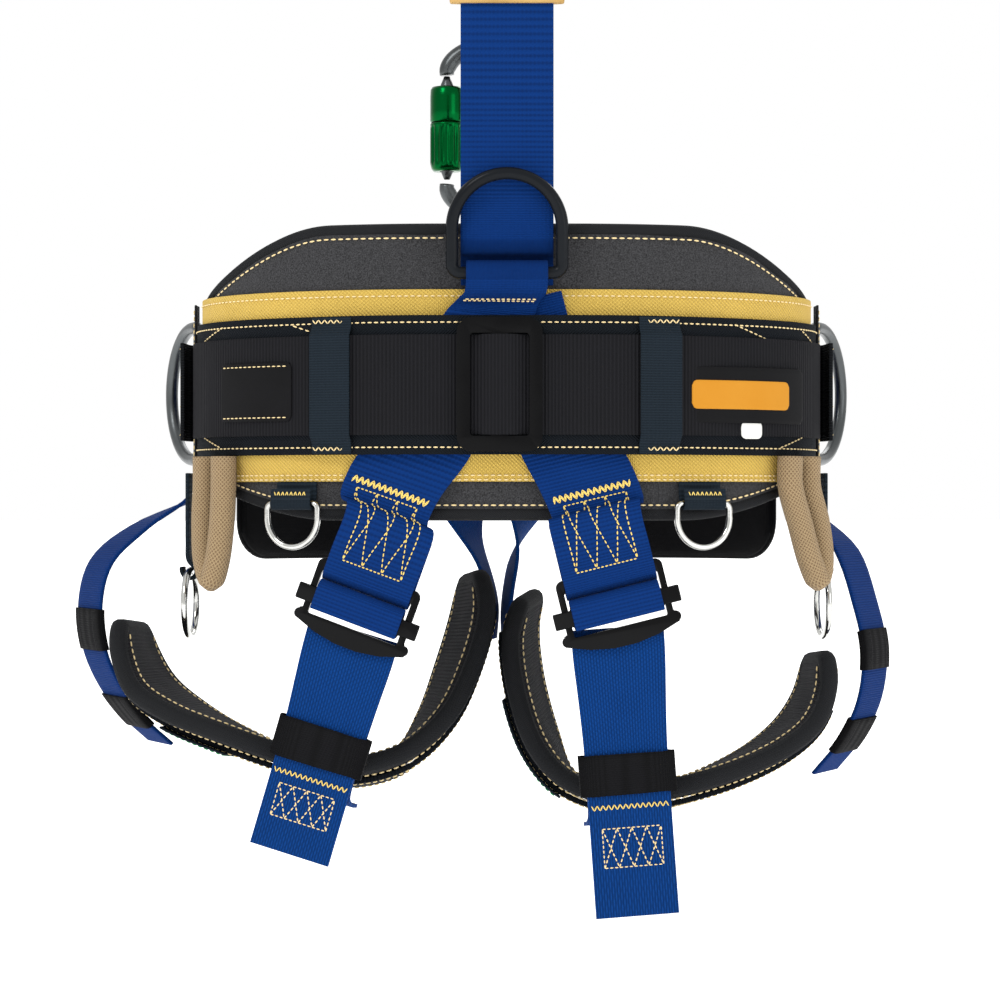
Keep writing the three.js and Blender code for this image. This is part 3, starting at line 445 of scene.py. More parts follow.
def tube(name, points, radius, material, slot, replaces=(), body="harness", closed=False, sides=16, levels=0):
    """A round wire or rope through evenly spaced points."""
    points = [Vector(p) for p in points]
    count = len(points)
    ahead = lambda i: points[(i + 1) % count] if closed else points[min(i + 1, count - 1)]
    behind = lambda i: points[i - 1] if (closed or i) else points[0]
    tangents = [(ahead(i) - behind(i)).normalized() for i in range(count)]
    normal = tangents[0].orthogonal().normalized()
    normals = []
    for tangent in tangents:
        normal = (normal - tangent * normal.dot(tangent)).normalized()
        normals.append(normal)
    if closed:
        last = (normals[-1] - tangents[0] * normals[-1].dot(tangents[0])).normalized()
        slip = math.atan2(tangents[0].dot(last.cross(normals[0])), last.dot(normals[0]))
        normals = [Matrix.Rotation(slip * i / count, 3, tangents[i]) @ n for i, n in enumerate(normals)]
    length = sum((ahead(i) - points[i]).length for i in range(count))
    rows = count if closed else count - 1
    bm = bmesh.new()
    bmesh.ops.create_grid(bm, x_segments=rows, y_segments=sides, size=0.5)
    weave = bm.loops.layers.uv.new("weave")
    for face in bm.faces:
        for loop in face.loops:
            loop[weave].uv = ((loop.vert.co.x + 0.5) * length * MM,
                              loop.vert.co.y * round(2 * math.pi * 7 / 4.6) * 4.6 * MM)
    for vert in bm.verts:
        u, turn = vert.co.x + 0.5, 2 * math.pi * vert.co.y
        i = round(u * rows) % count
        r = radius(u) if callable(radius) else radius
        sideways = tangents[i].cross(normals[i])
        vert.co = points[i] + r * (math.cos(turn) * normals[i] + math.sin(turn) * sideways)
    bmesh.ops.remove_doubles(bm, verts=bm.verts[:], dist=1e-4)
    if not closed:
        bmesh.ops.holes_fill(bm, edges=[e for e in bm.edges if e.is_boundary], sides=0)
    return piece(name, bm, material, body, slot, replaces, levels=levels)


class Threads:
    """All the stitches of one colour on one body, each a short rounded run of thread."""

    def __init__(self, name, material, slot, body="harness"):
        self.name, self.material, self.slot, self.body = name, material, slot, body
        shape = bmesh.new()
        bmesh.ops.create_uvsphere(shape, u_segments=6, v_segments=4, radius=1)
        self.corners = np.array([list(v.co) for v in shape.verts])
        self.faces = [[v.index for v in f.verts] for f in shape.faces]
        shape.free()
        self.laid = []

    def lay(self, a, b, radius=0.5):
        along = b - a
        if along.length < 0.3:
            return
        turned = along.to_track_quat("Z",
                                     "Y").to_matrix() @ Matrix.Diagonal((radius, radius, along.length / 2))
        self.laid.append(self.corners @ np.array(turned).T + np.array((a + b) / 2))

    def row(self, line, pitch=3.4, share=0.74, radius=0.5):
        """Stitches along line(t), t from 0 to 1."""
        points = [line(i / 80) for i in range(81)]
        reach = np.concatenate([[0], np.cumsum([(b - a).length for a, b in zip(points, points[1:])])])
        flat = np.array([list(p) for p in points])
        at = lambda d: Vector([float(np.interp(d, reach, flat[:, k])) for k in range(3)])
        count = max(1, int(reach[-1] / pitch))
        step = reach[-1] / count
        for i in range(count):
            self.lay(at(i * step), at((i + share) * step), radius)

    def zigzag(self, line, beside, pitch=1.5, radius=0.42):
        """A bar tack: line(t) and beside(t) are its two edges."""
        length = (line(1) - line(0)).length
        count = max(2, int(length / pitch))
        ends = [(line if i % 2 else beside)(i / count) for i in range(count + 1)]
        for a, b in zip(ends, ends[1:]):
            self.lay(a, b, radius)

    def finish(self):
        size = len(self.corners)
        mesh = bpy.data.meshes.new(self.name)
        faces = [[i + k * size for i in face] for k in range(len(self.laid)) for face in self.faces]
        mesh.from_pydata((np.concatenate(self.laid) * MM).tolist(), [], faces)
        weave = mesh.uv_layers.new(name="weave").data
        weave.foreach_set("uv", np.tile([0.0, 0.0], len(weave)))
        bm = bmesh.new()
        bm.from_mesh(mesh)
        for vert in bm.verts:
            vert.co /= MM
        piece(self.name, bm, self.material, self.body, self.slot)


tan = Threads("stitches_tan", thread_tan, "gold_twill")
gilt = Threads("bar_tacks_gold", thread_gold, "gold_twill")
lime = Threads("stitches_green", thread_green, "green_alloy")


# ---- Layers round the waist, out from its inside ----
PAD, WEAR, STRAP, UPPER = 11.0, 11.3, 13.3, 16.0
WEB, HEAVY, THIN, GAP, SLACK = 2.2, 2.4, 1.5, 0.3, 0.5
STACK = 5.7
SLIDER_AT = -4.0
REAR_BAR_OUT, REAR_BAR_Z, REAR_WIRE = 21.9, 60.0, 3.4
BUCKLE_OUT = STRAP + WEB + GAP


def load_inner(s):
    return STRAP + STACK * (1 - smooth(48, 128, abs(s)))


def belt_inner(s):
    return load_inner(s) + HEAVY + GAP


def outside_belt(s):
    return belt_inner(s) + WEB + GAP


SLIDER_INNER = outside_belt(SLIDER_AT)


def on_face(out, lift=0.35):
    """Puts (s, z) on the outside of a layer whose outer face is at out(s)."""
    return lambda s, z: on_waist(s, -(out(s) if callable(out) else out) - lift, z)


def s_at(x, out, front=False):
    """The length round the waist whose point at that distance out has this X, at the back or at the front."""
    low, high = (0, HALF_WAIST / 2 - 8) if not front else (HALF_WAIST / 2 + 8, HALF_WAIST)
    for _ in range(40):
        mid = (low + high) / 2
        nearer = on_waist(mid, -out, 0).x < abs(x)
        low, high = (mid, high) if nearer != front else (low, mid)
    return math.copysign((low + high) / 2, x)


# ---- Back pad ----
PAD_LENGTH, PAD_CORNER = 214.0, 16.0


def pad_edge(s, middle, end):
    share = min(PAD_LENGTH - abs(s), PAD_CORNER)
    inset = PAD_CORNER - math.sqrt(max(0, PAD_CORNER ** 2 - (PAD_CORNER - share) ** 2))
    return mix(middle, end, smooth(95, PAD_LENGTH, abs(s))) - math.copysign(inset, middle)


def pad_place(u, v, w):
    s = mix(-PAD_LENGTH + 2, PAD_LENGTH - 2, 0.5 - 0.5 * math.cos(math.pi * u))
    z = mix(pad_edge(s, -73, -50) + 2, pad_edge(s, 88, 50) - 2, v + 0.5)
    rim = min(1, (0.5 - abs(v)) * 7, (PAD_LENGTH - abs(s)) / 12)
    full = 0.62 + 0.38 * math.sqrt(max(0, 1 - (1 - rim) ** 2))
    free = smooth(52, 62, abs(z))
    ripple = 0.8 * free * noise.noise(Vector((s * 0.045, z * 0.05, 3 + w)))
    return on_waist(s, -PAD / 2 - w * PAD * full - ripple, z)


back = slab("back_pad_cover", pad_place, (428, 161), (150, 40), knit, slot="pad_mesh",
            replaces=["back_pad"], bevel=0)

top_run = [(s, pad_edge(s, 88, 50)) for s in np.linspace(-PAD_LENGTH + 0.2, PAD_LENGTH - 0.2, 240)]
low_run = [(s, pad_edge(s, -73, -50)) for s in np.linspace(PAD_LENGTH - 0.2, -PAD_LENGTH + 0.2, 240)]
outline = [Vector((s, z, 0)) for s, z in top_run + low_run]


def evenly(points, count):
    loop = points + [points[0]]
    reach = np.concatenate([[0], np.cumsum([(b - a).length for a, b in zip(loop, loop[1:])])])
    flat = np.array([list(p) for p in loop])
    want = np.linspace(0, reach[-1], count, endpoint=False)
    return [Vector([float(np.interp(d, reach, flat[:, k])) for k in range(3)]) for d in want]


pad_rim = evenly(outline, 300)


def rim_normal(i):
    ahead = pad_rim[(i + 1) % 300] - pad_rim[i - 1]
    return Vector((ahead.y, -ahead.x, 0)).normalized() * -1


def bind_pad():
    """The binding tape is folded over the pad's edge all the way round."""
    def place(u, v):
        i = round(u * 300) % 300
        turn = 2 * math.pi * v
        inward = -rim_normal(i)
        flat = pad_rim[i] + inward * (3.6 - 3.8 * math.cos(turn))
        out = PAD / 2 + (PAD / 2 + 0.7) * math.sin(turn)
        return on_waist(flat.x, -out, flat.y)

    bm = bmesh.new()
    bmesh.ops.create_grid(bm, x_segments=300, y_segments=18, size=0.5)
    weave = bm.loops.layers.uv.new("weave")
    for face in bm.faces:
        for loop in face.loops:
            loop[weave].uv = ((loop.vert.co.x + 0.5) * 1.1, loop.vert.co.y * 0.03)
    for vert in bm.verts:
        vert.co = place(vert.co.x + 0.5, vert.co.y)
    bmesh.ops.remove_doubles(bm, verts=bm.verts[:], dist=1e-4)
    piece("back_pad_binding", bm, binding, "harness", "black_webbing")


bind_pad()


def rim_point(i, inset, out):
    flat = pad_rim[i % 300] - rim_normal(i % 300) * inset
    return on_waist(flat.x, -out, flat.y)


for quarter in range(6):
    tan.row(lambda t: rim_point(quarter * 50 + round(t * 50), 8.2, PAD + 0.35), pitch=4.2)

# ---- Bands on the pad ----
waist_strip("gold_band", -198, 198, -52, 52, WEAR, THIN, gold, "gold_twill", ["wear_band"])
face = on_face(WEAR + THIN)
for z in (48.3, -48.6, -51.0):
    tan.row(lambda t: face(mix(-196, 196, t), z), pitch=3.6, radius=0.45)

waist_strip("structural_band", -206, 206, -37.5, 37.5, load_inner, HEAVY, structural, "structural_webbing",
            ["load_band"])
face = on_face(lambda s: load_inner(s) + HEAVY)
for z in (33.6, -33.6):
    tan.row(lambda t: face(mix(-204, 204, t), z), pitch=3.6, radius=0.45)
for a, b in (((-158, 34), (-196, 20)), ((-196, -20), (-160, -33)), ((120, 34), (158, 20)),
             ((150, -33), (196, -18)), ((196, 20), (168, 33)), ((-112, 33), (-98, 28))):
    tan.row(lambda t: face(mix(a[0], b[0], t), mix(a[1], b[1], t)), pitch=3.4, radius=0.45)

for sign, side in ((-1, "left"), (1, "right")):
    edge_out = load_inner(202) + HEAVY + 0.3
    waist_strip("end_binding_" + side, sign * 200, sign * 210, -50, 50, edge_out, 1.4, binding,
                "black_webbing", steps=(4, 30))
    tan.row(lambda t: on_waist(sign * 201.4, -edge_out - 1.7, mix(-48, 48, t)), pitch=3.6, radius=0.4)

RISE = SLIDER_INNER + 3 + GAP - belt_inner(SLIDER_AT)


def belt_out(s):
    return belt_inner(s) + RISE * (1 - smooth(4.3, 15.2, abs(s - SLIDER_AT)))


def belt_place(u, v, w):
    s = mix(-198, 198, u)
    return on_waist(s, -belt_out(s) - WEB * (w + 0.5), v * 54)


slab("belt_cover", belt_place, (396, 54), (200, 6), ribbed, slot="ribbed_belt", replaces=["belt"])

for side, centre in (("left", -90), ("right", 78)):
    def keeper_place(u, v, w):
        z = (2 * u - 1) * 37
        s = centre - v * 21
        over = 1 - smooth(27.8, 31, abs(z))
        inner = mix(load_inner(s) + HEAVY + GAP, outside_belt(s) + 1.2, over)
        return on_waist(s, -inner - THIN * (w + 0.5), z)

    slab("keeper_cover_" + side, keeper_place, (74, 21), (30, 6), slate, slot="slate_webbing",
         replaces=["webbing_keeper_" + side])
    for z in (34.4, -34.4):
        edge = lambda dz: (lambda t: on_waist(centre - 9.5 + 19 * t,
                                              -load_inner(centre) - HEAVY - GAP - THIN - 0.3, z + dz))
        tan.zigzag(edge(-1.1), edge(1.1), pitch=1.7, radius=0.4)


# ---- Metal taken from the frame, with its edges eased ----
def eased(name, node_name, material, body, slot, width=0.5, smooth_levels=0):
    """A copy of a CAD plate with its edges rounded over, as tumbled steel is."""
    bm = bmesh.new()
    bm.from_mesh(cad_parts[node_name].data)
    bmesh.ops.remove_doubles(bm, verts=bm.verts[:], dist=1e-6)
    bmesh.ops.dissolve_limit(bm, angle_limit=math.radians(2), verts=bm.verts[:], edges=bm.edges[:])
    for vert in bm.verts:
        vert.co /= MM
    made = piece(name, bm, material, body, slot, [node_name], bevel=width, levels=smooth_levels)
    made.modifiers["edge"].segments = 3
    made.modifiers["edge"].angle_limit = math.radians(35)
    made.modifiers["edge"].harden_normals = True
    return made


eased("slider_plate", "belt_slider", matt_black, "harness", "black_steel", 0.8)
eased("front_frame_plate", "front_buckle_frame", matt_black, "harness", "black_steel", 0.7)
eased("front_tongue_plate", "front_buckle_tongue", matt_black, "buckle_tongue", "black_steel", 0.7)
for side in ("left", "right"):
    eased("buckle_plate_" + side, "buckle_frame_" + side, gloss_black, "harness", "black_steel", 0.9)
    eased("slide_bar_plate_" + side, "slide_bar_" + side, gloss_black, "adjuster_" + side, "black_steel", 0.8)


# ---- Rings ----
def dee_points(width, height, wire, corner, count=120):
    """The centre line of a D: its bar lies through the origin along X, its crown is up Z."""
    half = width / 2 - wire
    legs = max(height - half - 2 * wire, corner + 0.5)
    line = [Vector((0, 0, 0)), Vector((half - corner, 0, 0))]
    line += [Vector((half - corner + corner * math.sin(a), 0,
                     corner - corner * math.cos(a))) for a in np.linspace(0.1, math.pi / 2, 12)]
    line += [Vector((half * math.cos(a), 0, legs + half * math.sin(a))) for a in np.linspace(0, math.pi, 60)]
    line += [Vector((-half + corner - corner * math.cos(a), 0,
                     corner - corner * math.sin(a))) for a in np.linspace(0, math.pi / 2 - 0.1, 12)]
    return evenly(line, count)


def dee(name, node_name, spec, pose, material, body, slot):
    flats = spec[2]
    return tube(name, [pose @ p for p in dee_points(*spec)], flats, material, slot, [node_name], body,
                closed=True, sides=16)


def moved(matrix, x, y, z):
    return matrix @ Matrix.Translation((x, y, z))


dee("rear_dee_ring", "rear_dee", (66, 60, 3.4, 4.5),
    Matrix.Translation((0, -HALF_DEPTH - REAR_BAR_OUT, REAR_BAR_Z)) @ Matrix.Rotation(0.12, 4, "X"), forged,
    "rear_dee", "forged_steel")
for sign, side in ((-1, "left"), (1, "right")):
    bar_out = load_inner(216) + 5
    flared = moved(stand_at(sign * 216), 0, -bar_out, 0) @ Matrix.Rotation(-sign * 0.66, 4,
        "Z") @ Matrix.Rotation(sign * math.pi / 2, 4, "Y")
    dee("side_dee_ring_" + side, "side_dee_" + side, (84, 56, 3.6, 5), flared, gunmetal, "side_dee_" + side,
        "forged_steel")
GEAR = {"left_inner": -112, "right_inner": 102, "left_front": -266, "right_front": 266}
GEAR_Z = -64.0
for name, s in GEAR.items():
    surface = (9 if name.endswith("front") else PAD) + GAP
    bar_out = surface + 2 * THIN + 1.7 + 1
    stand = stand_at(s)
    pose = moved(stand, 0, -bar_out, GEAR_Z) @ Matrix.Rotation(math.pi, 4, "X")
    dee("gear_dee_" + name, "gear_ring_" + name, (35, 27, 1.7, 3), pose, nickel, "gear_ring_" + name,
        "nickel_steel")
    loop = 1.7 + GAP + THIN / 2
    around = lambda a: (0, -bar_out - loop * math.sin(a), GEAR_Z - loop * math.cos(a))
    tab, at, route = strap("gear_tab_cover_" + name,
                           [(0, -surface - THIN / 2, -52.3), (0, -surface - 1.2, GEAR_Z + 4), around(-1.2),
                            around(-0.4), around(0.4),
                           around(1.2), around(2.0), (0, -bar_out - loop * 0.5, GEAR_Z + 8)], (-1, 0, 0),
                           25, THIN, slate, "slate_webbing", ["gear_tab_" + name],
                           to_world=lambda p, stand=stand: stand @ p)
    face = lambda z: (lambda t: stand @ Vector((mix(-10, 10, t), -bar_out - loop * 0.55 - 0.9, GEAR_Z + z)))
    gilt.zigzag(face(3.2), face(6.6), pitch=1.3)


def ring_points(radius, count=96):
    return [Vector((radius * math.cos(a), 0, radius * math.sin(a))) for a in np.linspace(0, 2 * math.pi,
        count, endpoint=False)]


# ---- Straps from the belt to the leg loops ----
HANG = {
    "left": dict(s=-62, tilt=0.35, tail_tilt=0.285, x=-16, z=-122, tail=138, keeper=-77, box=(18, 36),
                 tack=41, over=True, join=-100),
    "right": dict(s=46, tilt=-0.24, tail_tilt=-0.07, x=12, z=-120, tail=167, keeper=-90, box=(27, 48),
                  tack=58, over=False, join=-112),
}
WINDOW_TOP, WINDOW_BOTTOM, PLATE = 14.0, -10.5, 3.0


def butt_strap(side):
    spec = HANG[side]
    sign = -1 if side == "left" else 1
    base, outward = waist_at(spec["s"])
    turn = math.atan2(outward.x, -outward.y)
    down = Vector((-math.sin(spec["tilt"]), -math.cos(spec["tilt"])))
    centre = Vector((spec["s"] + spec["x"], spec["z"]))
    laid = STRAP + WEB / 2
    front, behind = BUCKLE_OUT + PLATE + GAP + WEB / 2, BUCKLE_OUT - GAP - WEB / 2

    def low(distance, out):
        p = centre - down * distance
        return (p.x, -out, p.y)

    top = WINDOW_TOP - GAP
    ends = [low(top + 40, front), low(top + 16, front), low(top, front),
            low(top - 2.2, (front * 3 + behind) / 4), low(top - 2.9, (front + behind) / 2),
            low(top - 2.2, (front + behind * 3) / 4), low(top, behind), low(top + 14, behind),
            low(top + 34, behind)]
    under = UPPER + WEB / 2 if spec["over"] else laid
    bar, z, loop = REAR_BAR_OUT, REAR_BAR_Z, REAR_WIRE + 4 * GAP + WEB / 2
    if spec["over"]:
        high = [(0, -bar + loop, z - 7), (0, -bar + loop, z), (0, -bar + loop * 0.7, z + loop * 0.7),
                (0, -bar, z + loop),
                (0, -bar - loop * 0.7, z + loop * 0.7), (0, -bar - loop, z),
                (0, -bar - loop * 0.85, z - loop * 0.6), (-1, -bar + 0.2, z - 10.5),
                (-5, -under - 0.3, 45), (-9, -under, 38), (-22, -under, 14), (-30, -under, -2),
                (-39, -laid - 0.8, -20), (-44, -laid, -31)]
    else:
        high = [(5, -laid, 45), (9, -laid, 30), (19, -laid, 0), (31, -laid, -30)]
    middle = [(spec["s"] - sign * 4, -laid - 0.3, -52), (spec["s"] + sign * 2, -laid - 1, -68)]
    tilted = Vector((math.cos(spec["tilt"]), 0, -math.sin(spec["tilt"])))

    def world_of(p):
        bent = on_waist(*p)
        flat = Matrix.Rotation(turn, 3,
                               "Z") @ Vector((p.x - spec["s"], p.y, 0)) + Vector((base.x, base.y, p.z))
        return bent.lerp(flat, smooth(40, 76, -p.z))

    across = lambda u: Vector((1, 0, 0)).lerp(tilted, smooth(0.3, 0.5, u) if spec["over"] else 1)
    width = (lambda u: mix(44, 50, smooth(0.3, 0.45, u))) if spec["over"] else 50
    made, at, route = strap("butt_strap_cover_" + side, high + middle + ends, across, width, WEB, blue,
                            "blue_webbing", ["butt_strap_" + side], to_world=world_of)
    count = len(high + middle + ends) - 1
    # the sewn box where the strap doubles back below the belt: three tall diamonds in a frame
    grid = np.linspace(0, 1, 401)
    reached = lambda u: float(np.interp(u, grid, route.reach)) / route.length
    seam_from, seam_to = reached((len(high) + 0.5) / count), reached((len(high) + 3.35) / count)
    face = lambda t, v: at(route.even(t), v, WEB / 2 + 0.35)
    side_edge = 0.34
    for v in (-side_edge, side_edge):
        gilt.row(lambda t: face(mix(seam_from, seam_to, t), v), pitch=2.8, radius=0.42)
    for u in (seam_from, seam_to):
        gilt.row(lambda t: face(u, mix(-side_edge, side_edge, t)), pitch=2.2, radius=0.42)
    column = 2 * side_edge / 3
    for i in range(3):
        v0 = -side_edge + i * column
        for a, b in ((v0, v0 + column), (v0 + column, v0)):
            gilt.row(lambda t: face(mix(seam_from, seam_to, t), mix(a, b, t)), pitch=2.8, radius=0.4)
    # a dense zigzag bar tack close under the belt
    tack = seam_from - 6.5 / route.length
    for shift in (0, 1.2 / route.length):
        gilt.zigzag(lambda t: face(tack + shift, mix(-0.42, 0.42, t)),
                    lambda t: face(tack + 3.2 / route.length + shift, mix(-0.42, 0.42, t)), pitch=1.6)
    if spec["over"]:
        for k in (7.55, 7.8):
            tan.row(lambda t: face(reached(k / count), mix(-0.44, 0.44, t)), pitch=2.6, radius=0.45)
    return at


def adjuster(side):
    spec = HANG[side]
    stand = stand_at(spec["s"])
    pose = moved(stand, spec["x"], -BUCKLE_OUT, spec["z"]) @ Matrix.Rotation(spec["tilt"], 4, "Y")
    bar_back = PLATE + GAP
    rear, front = bar_back - GAP - WEB / 2, bar_back + 2.4 + GAP + WEB / 2
    top = 6.5 + GAP + 0.6
    strap("strap_fold_cover_" + side,
          [(0, -rear, -6), (0, -rear, 0), (0, -rear, top - 1), (0, -(rear * 3 + front) / 4, top + 1),
           (0, -(rear + front) / 2, top + 1.5),
          (0, -(rear + front * 3) / 4, top + 1), (0, -front, top - 1), (0, -front, 0), (0, -front, -7)],
          (1, 0, 0), 49.4, WEB, blue, "blue_webbing",
          ["strap_fold_" + side], "adjuster_" + side, lambda p: pose @ p)
    hung = moved(stand, spec["x"], -BUCKLE_OUT, spec["z"]) @ Matrix.Rotation(spec["tail_tilt"], 4, "Y")
    apart, tail = WEB + 3 * GAP, -GAP - WEB / 2
    load, turn, join = tail - apart, WINDOW_BOTTOM - 2.5, spec["join"]
    points = [(0, -tail - 1, -spec["tail"]), (0, -tail, -100), (0, -tail, -70), (0, -tail, -40),
              (0, -tail, turn - 4), (0, -tail, turn - 1),
              (0, -tail + apart * 0.15, turn + 0.4), (0, -tail + apart / 2, turn + 1),
              (0, -tail + apart * 0.85, turn + 0.4), (0, -load, turn - 1),
              (0, -load, turn - 4), (0, -load, -40), (0, -load, -76), (0, -load, join + 10),
              (0, -load + 3, join), (0, -load + 14, join - 5), (0, -load + 34, join - 8)]
    wide = lambda u: mix(45, 50, smooth(0.1, 0.24, u) * (1 - smooth(0.64, 0.76, u)))
    made, at, route = strap("adjuster_strap_cover_" + side, points, (1, 0, 0), wide, WEB, teal,
                            "teal_webbing", ["adjuster_strap_" + side], to_world=lambda p: hung @ p)

    def on_tail(x, z):
        return hung @ Vector((x,
                              -tail - WEB / 2 - 0.35 - (1 if z < -110 else 0) * smooth(-110, -spec["tail"],
                                  z), z))

    # the box of small crosses near the tail's end
    low, high = (-spec["tail"] + inset for inset in spec["box"])
    for z in (low, high):
        tan.row(lambda t: on_tail(mix(-16, 16, t), z), pitch=2.6, radius=0.38)
    for x in (-16, 16):
        tan.row(lambda t: on_tail(x, mix(low, high, t)), pitch=2.6, radius=0.38)
    tack = spec["tack"] - spec["tail"]
    gilt.zigzag(lambda t: on_tail(mix(-21, 21, t), tack), lambda t: on_tail(mix(-21, 21, t), tack + 3),
                pitch=1.5, radius=0.38)
    for i in range(4):
        x0, x1 = -16 + i * 8, -8 + i * 8
        tan.row(lambda t: on_tail(mix(x0, x1, t), mix(low, high, t)), pitch=2.6, radius=0.42)
        tan.row(lambda t: on_tail(mix(x0, x1, t), mix(high, low, t)), pitch=2.6, radius=0.42)

    # elastic keeper round the tail and the load layer
    body = "tail_keeper_" + side
    inside = dict(x=24.8, front=-tail - WEB / 2 - 3.4 * GAP, back=-load + WEB / 2 + GAP)
    ring = []
    for k in range(64):
        a = 2 * math.pi * k / 64
        c, s = math.cos(a), math.sin(a)
        squareness = lambda q: math.copysign(abs(q) ** 0.35, q)
        ring.append(Vector(((inside["x"] + THIN / 2) * squareness(c),
                            (inside["front"] + inside["back"]) / 2
                            + (((inside["back"] - inside["front"]) + THIN) / 2) * squareness(s), 0)))

    def keeper_place(u, v, w):
        i = round(u * 64) % 64
        p = ring[i]
        out = (p - Vector((0, (inside["front"] + inside["back"]) / 2, 0))).normalized()
        return hung @ (p + out * w * THIN + Vector((0, 0,
                                                    spec["keeper"] - v * 22 + 0.5 * math.sin(u * 25) * v)))

    slab("tail_keeper_cover_" + side, keeper_place, (100, 22), (64, 8), elastic, body, "elastic_webbing",
         [body], bevel=0)
    return on_tail


butt = {side: butt_strap(side) for side in HANG}
tails = {side: adjuster(side) for side in HANG}

# ---- Back riser, leather patch ----
fold_z = REAR_BAR_Z + REAR_WIRE + GAP + WEB + 6
riser_out, sewn_out = REAR_BAR_OUT - 1.6, WEAR + WEB / 2
out_y = lambda off: -HALF_DEPTH - off
_, riser_at, riser_route = strap("back_riser_cover",
                                 [(0, out_y(riser_out), 223), (0, out_y(riser_out), 150),
                                  (0, out_y(riser_out), 100), (0, out_y(riser_out), fold_z + 6),
      (0, out_y(riser_out - 2), fold_z), (0, out_y(sewn_out + 2), fold_z - 2),
      (0, out_y(sewn_out), fold_z - 7), (0, out_y(sewn_out), 54)],
      (1, 0, 0), 50, WEB, blue, "blue_webbing", ["back_riser"], steps=(80, 6))


def patch_place(u, v, w):
    return Vector(((u - 0.5) * 62 * (1 - 0.01 * abs(v)),
                   out_y(riser_out) + w * 7.6 * (1 - 0.25 * smooth(0.42, 0.5, abs(u - 0.5))), 218 + v * 26))


slab("leather_patch", patch_place, (62, 26), (24, 10), leather, slot="leather", replaces=["leather_sleeve"],
     bevel=1.0)
tan.row(lambda t: Vector((mix(-28, 28, t), out_y(riser_out) - 4.1, 207.5)), pitch=4)

